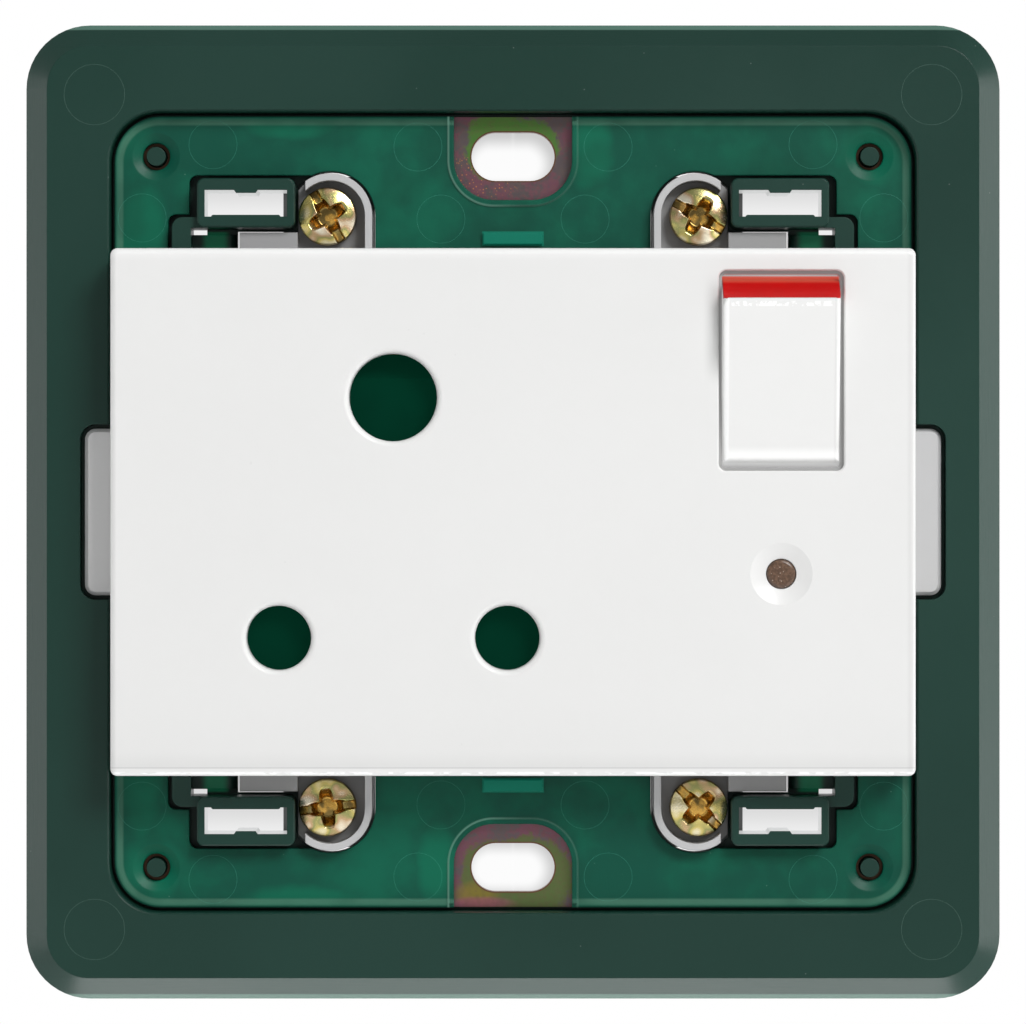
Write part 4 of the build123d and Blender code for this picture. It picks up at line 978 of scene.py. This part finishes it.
    def build(self) -> None:
        """Sets up the whole studio."""
        bpy.context.scene.view_settings.view_transform = "Standard"
        self.make_camera()
        self.make_world()
        self.make_cove()
        self.add_lamp("key_lamp", (0.48, -0.86, 0.62), (0.46, 0.46), 15.5)
        self.add_lamp("right_lamp", (0.60, 0.07, 0.0), (0.40, 0.40), 2.8)
        self.add_lamp("low_lamp", (0.0, 0.07, -0.3), (0.26, 0.26), 3.8)
        self.add_lamp("left_lamp", (-0.60, 0.07, 0.0), (0.40, 0.40), 1.6)
        log.info("studio: camera, cove and four lamps")


@dataclass
class TerminalScrew:
    """Pan head terminal screw with a cross and a slot cut into its head. Sizes in millimetres."""

    node: str
    centre: tuple[float, float]
    turn: float
    head_radius: float = 2.45
    head_base: float = 2.2
    head_height: float = 1.9
    dome: float = 0.45
    cross_half_width: float = 0.78
    cross_reach: float = 1.85
    cross_depth: float = 1.35
    slot_half_width: float = 0.36
    slot_depth: float = 0.5
    shank_radius: float = 1.7
    shank_end: float = -10.6
    thread_pitch: float = 0.7
    thread_depth: float = 0.18
    edge_radius: float = 0.12
    centre_hole: float = 0.02
    segments: int = 240

    def head_top(self, radius: np.ndarray, angle: np.ndarray) -> np.ndarray:
        """Height of the head above the wall.

        The dome falls with the square of the radius. The cross is a pit whose depth falls towards its
        ends, with sloping walls, and the slot has steep walls and a flat bottom.
        """
        across = radius * np.cos(angle - np.radians(self.turn))
        along = radius * np.sin(angle - np.radians(self.turn))
        dome = self.head_base + self.head_height - self.dome * (radius / self.head_radius) ** 2
        near = np.minimum(np.abs(across), np.abs(along))
        wedge = self.cross_half_width * (1.0 - 0.35 * radius / self.cross_reach)
        pit = self.cross_depth * (1.0 - smooth_rise(radius, 0.7, self.cross_reach))
        cross = pit * smooth_rise(wedge - near, 0.0, 0.3)
        slot = self.slot_depth * smooth_rise(self.slot_half_width - np.abs(along), -0.05, 0.09)
        return dome - np.maximum(cross, slot)

    def build(self, finish: bpy.types.Material) -> bpy.types.Object:
        """The screw as one turned surface: head, rim, underside, threaded shank and tip."""
        angles = np.linspace(0.0, 2.0 * np.pi, self.segments, endpoint=False)
        flat_radius = self.head_radius - self.edge_radius
        head_r = np.linspace(self.centre_hole, flat_radius, 60)
        r, a = np.meshgrid(head_r, angles, indexing="ij")
        rows = [(r, self.head_top(r, a), a)]
        edge_r, edge_a = np.meshgrid(np.linspace(0.0, np.pi / 2, 7)[1:], angles, indexing="ij")
        outer = flat_radius + self.edge_radius * np.sin(edge_r)
        drop = self.edge_radius * (1.0 - np.cos(edge_r))
        rows.append((outer, self.head_top(outer, edge_a) - drop, edge_a))
        side_h = np.array([self.head_base + 0.7, self.head_base + 0.1, self.head_base])
        side_r = np.array([self.head_radius, self.head_radius, self.head_radius - 0.1])
        shank_h = np.arange(self.head_base, self.shank_end, -self.thread_pitch / 6)
        thread = self.thread_depth * (0.5 + 0.5 * np.cos(2 * np.pi * shank_h / self.thread_pitch))
        tip_h = np.array([self.shank_end, self.shank_end - 0.3])
        tip_r = np.array([self.shank_radius - self.thread_depth, self.centre_hole])
        turned_r = np.concatenate([side_r, self.shank_radius - thread, tip_r])
        turned_h = np.concatenate([side_h, shank_h, tip_h])
        r, a = np.meshgrid(turned_r, angles, indexing="ij")
        rows.append((r, np.repeat(turned_h[:, None], len(angles), axis=1), a))
        radius = np.concatenate([row[0] for row in rows])
        height = np.concatenate([row[1] for row in rows])
        angle = np.concatenate([row[2] for row in rows])
        x = self.centre[0] + radius * np.cos(angle)
        z = self.centre[1] + radius * np.sin(angle)
        points = np.stack([x, -height, z], axis=-1).reshape(-1, 3) * MM
        faces = grid_faces(radius.shape[0], len(angles), closed_columns=True)[:, ::-1]
        made = build_mesh(self.node + "_head", points, faces, finish)
        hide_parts(self.node)
        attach(made, "socket")
        return made


@dataclass
class Terminals:
    """The four terminal screws."""

    screw_x: float = 15.7
    screw_z: float = 25.0
    turns: dict[str, float] = field(
        default_factory=lambda: {"earth": -60.0, "line": -30.0, "spare_earth": 7.0, "neutral": -45.0}
    )

    def build(self, finish: bpy.types.Material) -> None:
        """Makes the screws in their corners."""
        sides = {"earth": (-1, 1), "line": (1, 1), "spare_earth": (-1, -1), "neutral": (1, -1)}
        for name, (side, end) in sides.items():
            centre = (side * self.screw_x, end * self.screw_z)
            TerminalScrew(name + "_screw", centre, self.turns[name]).build(finish)
            log.info("terminal screw: %s", name)


@dataclass
class ReturnSpring:
    """Coil spring that pushes the shutter up again. Sizes in millimetres."""

    centre_x: float = -10.0
    centre_height: float = 7.1
    foot: float = -5.4
    top: float = 4.8
    radius: float = 0.85
    wire: float = 0.15
    turns: int = 8
    shutter_travel: float = 7.3
    clearance: float = 0.01
    centre_hole: float = 0.004
    steps_in_turn: int = 36
    sides: int = 12

    def build(self, finish: bpy.types.Material) -> bpy.types.Object:
        """Makes the coil.

        The wire's middle is a helix, (R cos t, R sin t, p t) with p the rise for each radian. Round it lie
        circles in the plane of the normal n = (cos t, sin t, 0) and the binormal
        b = (-p sin t, p cos t, -R) / sqrt(R * R + p * p). The ends are closed flat.

        Args:
            finish: The finish of the wire.

        Returns:
            The object.
        """
        steps = np.concatenate([[0.0], np.linspace(0.0, 1.0, self.turns * self.steps_in_turn + 1), [1.0]])
        thick = np.full(len(steps), self.wire)
        thick[[0, -1]] = self.centre_hole
        section = np.linspace(0, 2 * np.pi, self.sides, endpoint=False)
        turned, round_wire = np.meshgrid(steps * 2 * np.pi * self.turns, section, indexing="ij")
        end_room = self.wire + self.clearance
        rise = (self.top - self.foot - 2 * end_room) / (2 * np.pi * self.turns)
        long_side = np.hypot(self.radius, rise)
        out = thick[:, None] * np.cos(round_wire)
        over = thick[:, None] * np.sin(round_wire)
        reach = self.radius + out
        side = over * rise / long_side
        x = self.centre_x + reach * np.cos(turned) - side * np.sin(turned)
        y = reach * np.sin(turned) + side * np.cos(turned) - self.centre_height
        z = self.foot + end_room + rise * turned - over * self.radius / long_side
        points = np.stack([x, y, z], axis=-1).reshape(-1, 3) * MM
        faces = grid_faces(len(steps), self.sides, closed_columns=True)
        made = build_mesh("shutter_spring_coil", points, faces, finish)
        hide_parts("shutter_spring")
        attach(made, "socket")
        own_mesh(made)
        return made


@dataclass
class PinMarks:
    """Thin raised rings that ejector pins of the mould left. Sizes in millimetres."""

    ring_radius: float = 0.02
    rise: float = 0.002
    segments: int = 72
    sides: int = 8

    def build(
        self, name: str, centres: list[tuple[float, float]], radius: float, height: float, finish: Finish
    ) -> bpy.types.Object:
        """One object of all rings on a face.

        Each ring is a circle carried round its centre: a small half-sunk torus.

        Args:
            name: The object's name.
            centres: X and Z of each ring's middle.
            radius: Radius of the rings.
            height: Height of the face above the wall.
            finish: The finish of the face.

        Returns:
            The object.
        """
        circles = [np.linspace(0, 2 * np.pi, count, endpoint=False) for count in (self.segments, self.sides)]
        around, section = np.meshgrid(*circles, indexing="ij")
        reach = radius + self.ring_radius * np.cos(section)
        rise = height - self.ring_radius + self.rise + self.ring_radius * np.sin(section)
        ring = np.stack([reach * np.cos(around), -rise, reach * np.sin(around)], axis=-1).reshape(-1, 3)
        faces = grid_faces(self.segments, self.sides, closed_rows=True, closed_columns=True)
        points = np.concatenate([ring + np.array([x, 0.0, z]) for x, z in centres]) * MM
        all_faces = np.concatenate([faces + index * len(ring) for index in range(len(centres))])
        made = build_mesh(name, points, all_faces, bpy.data.materials[finish.value.name])
        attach(made, "socket")
        return made


def mirrored(places: list[tuple[float, float]]) -> list[tuple[float, float]]:
    """Each place in all four corners of the view."""
    return [(side * x, end * z) for x, z in places for side in (-1, 1) for end in (-1, 1)]


def dress_nodes(materials: dict[str, bpy.types.Material]) -> None:
    """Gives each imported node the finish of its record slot."""
    slots = {row["node"]: row["material_slot"] for row in frame["record"]["subparts"]}
    for name, node in frame["nodes"].items():
        own = OWN_FINISHES.get(name)
        finish = materials[own.value.name if own else slots[name]]
        for place in node.material_slots:
            place.material = finish
    log.info("dressed %d nodes", len(frame["nodes"]))


def main() -> None:
    """Builds the studio, the finishes and every piece."""
    logging.basicConfig(level=logging.INFO, format="%(message)s")
    Studio().build()
    materials = {finish.value.name: finish.value.paint() for finish in Finish}
    dress_nodes(materials)
    Terminals().build(materials["screw_zinc"])
    ReturnSpring().build(materials["spring_steel"])
    marks = PinMarks()
    marks.build("frame_pin_marks", mirrored([(35.3, 35.2)]), 2.55, 5.0, Finish.FRAME_GREEN)
    sheet_marks = mirrored([(25.4, 31.1), (8.05, 30.9), (6.1, 24.8), (31.4, 24.9)])
    marks.build("sheet_pin_marks", sheet_marks, 2.035, 3.2, Finish.SHEET_GREEN)


if __name__ == "__main__":
    main()
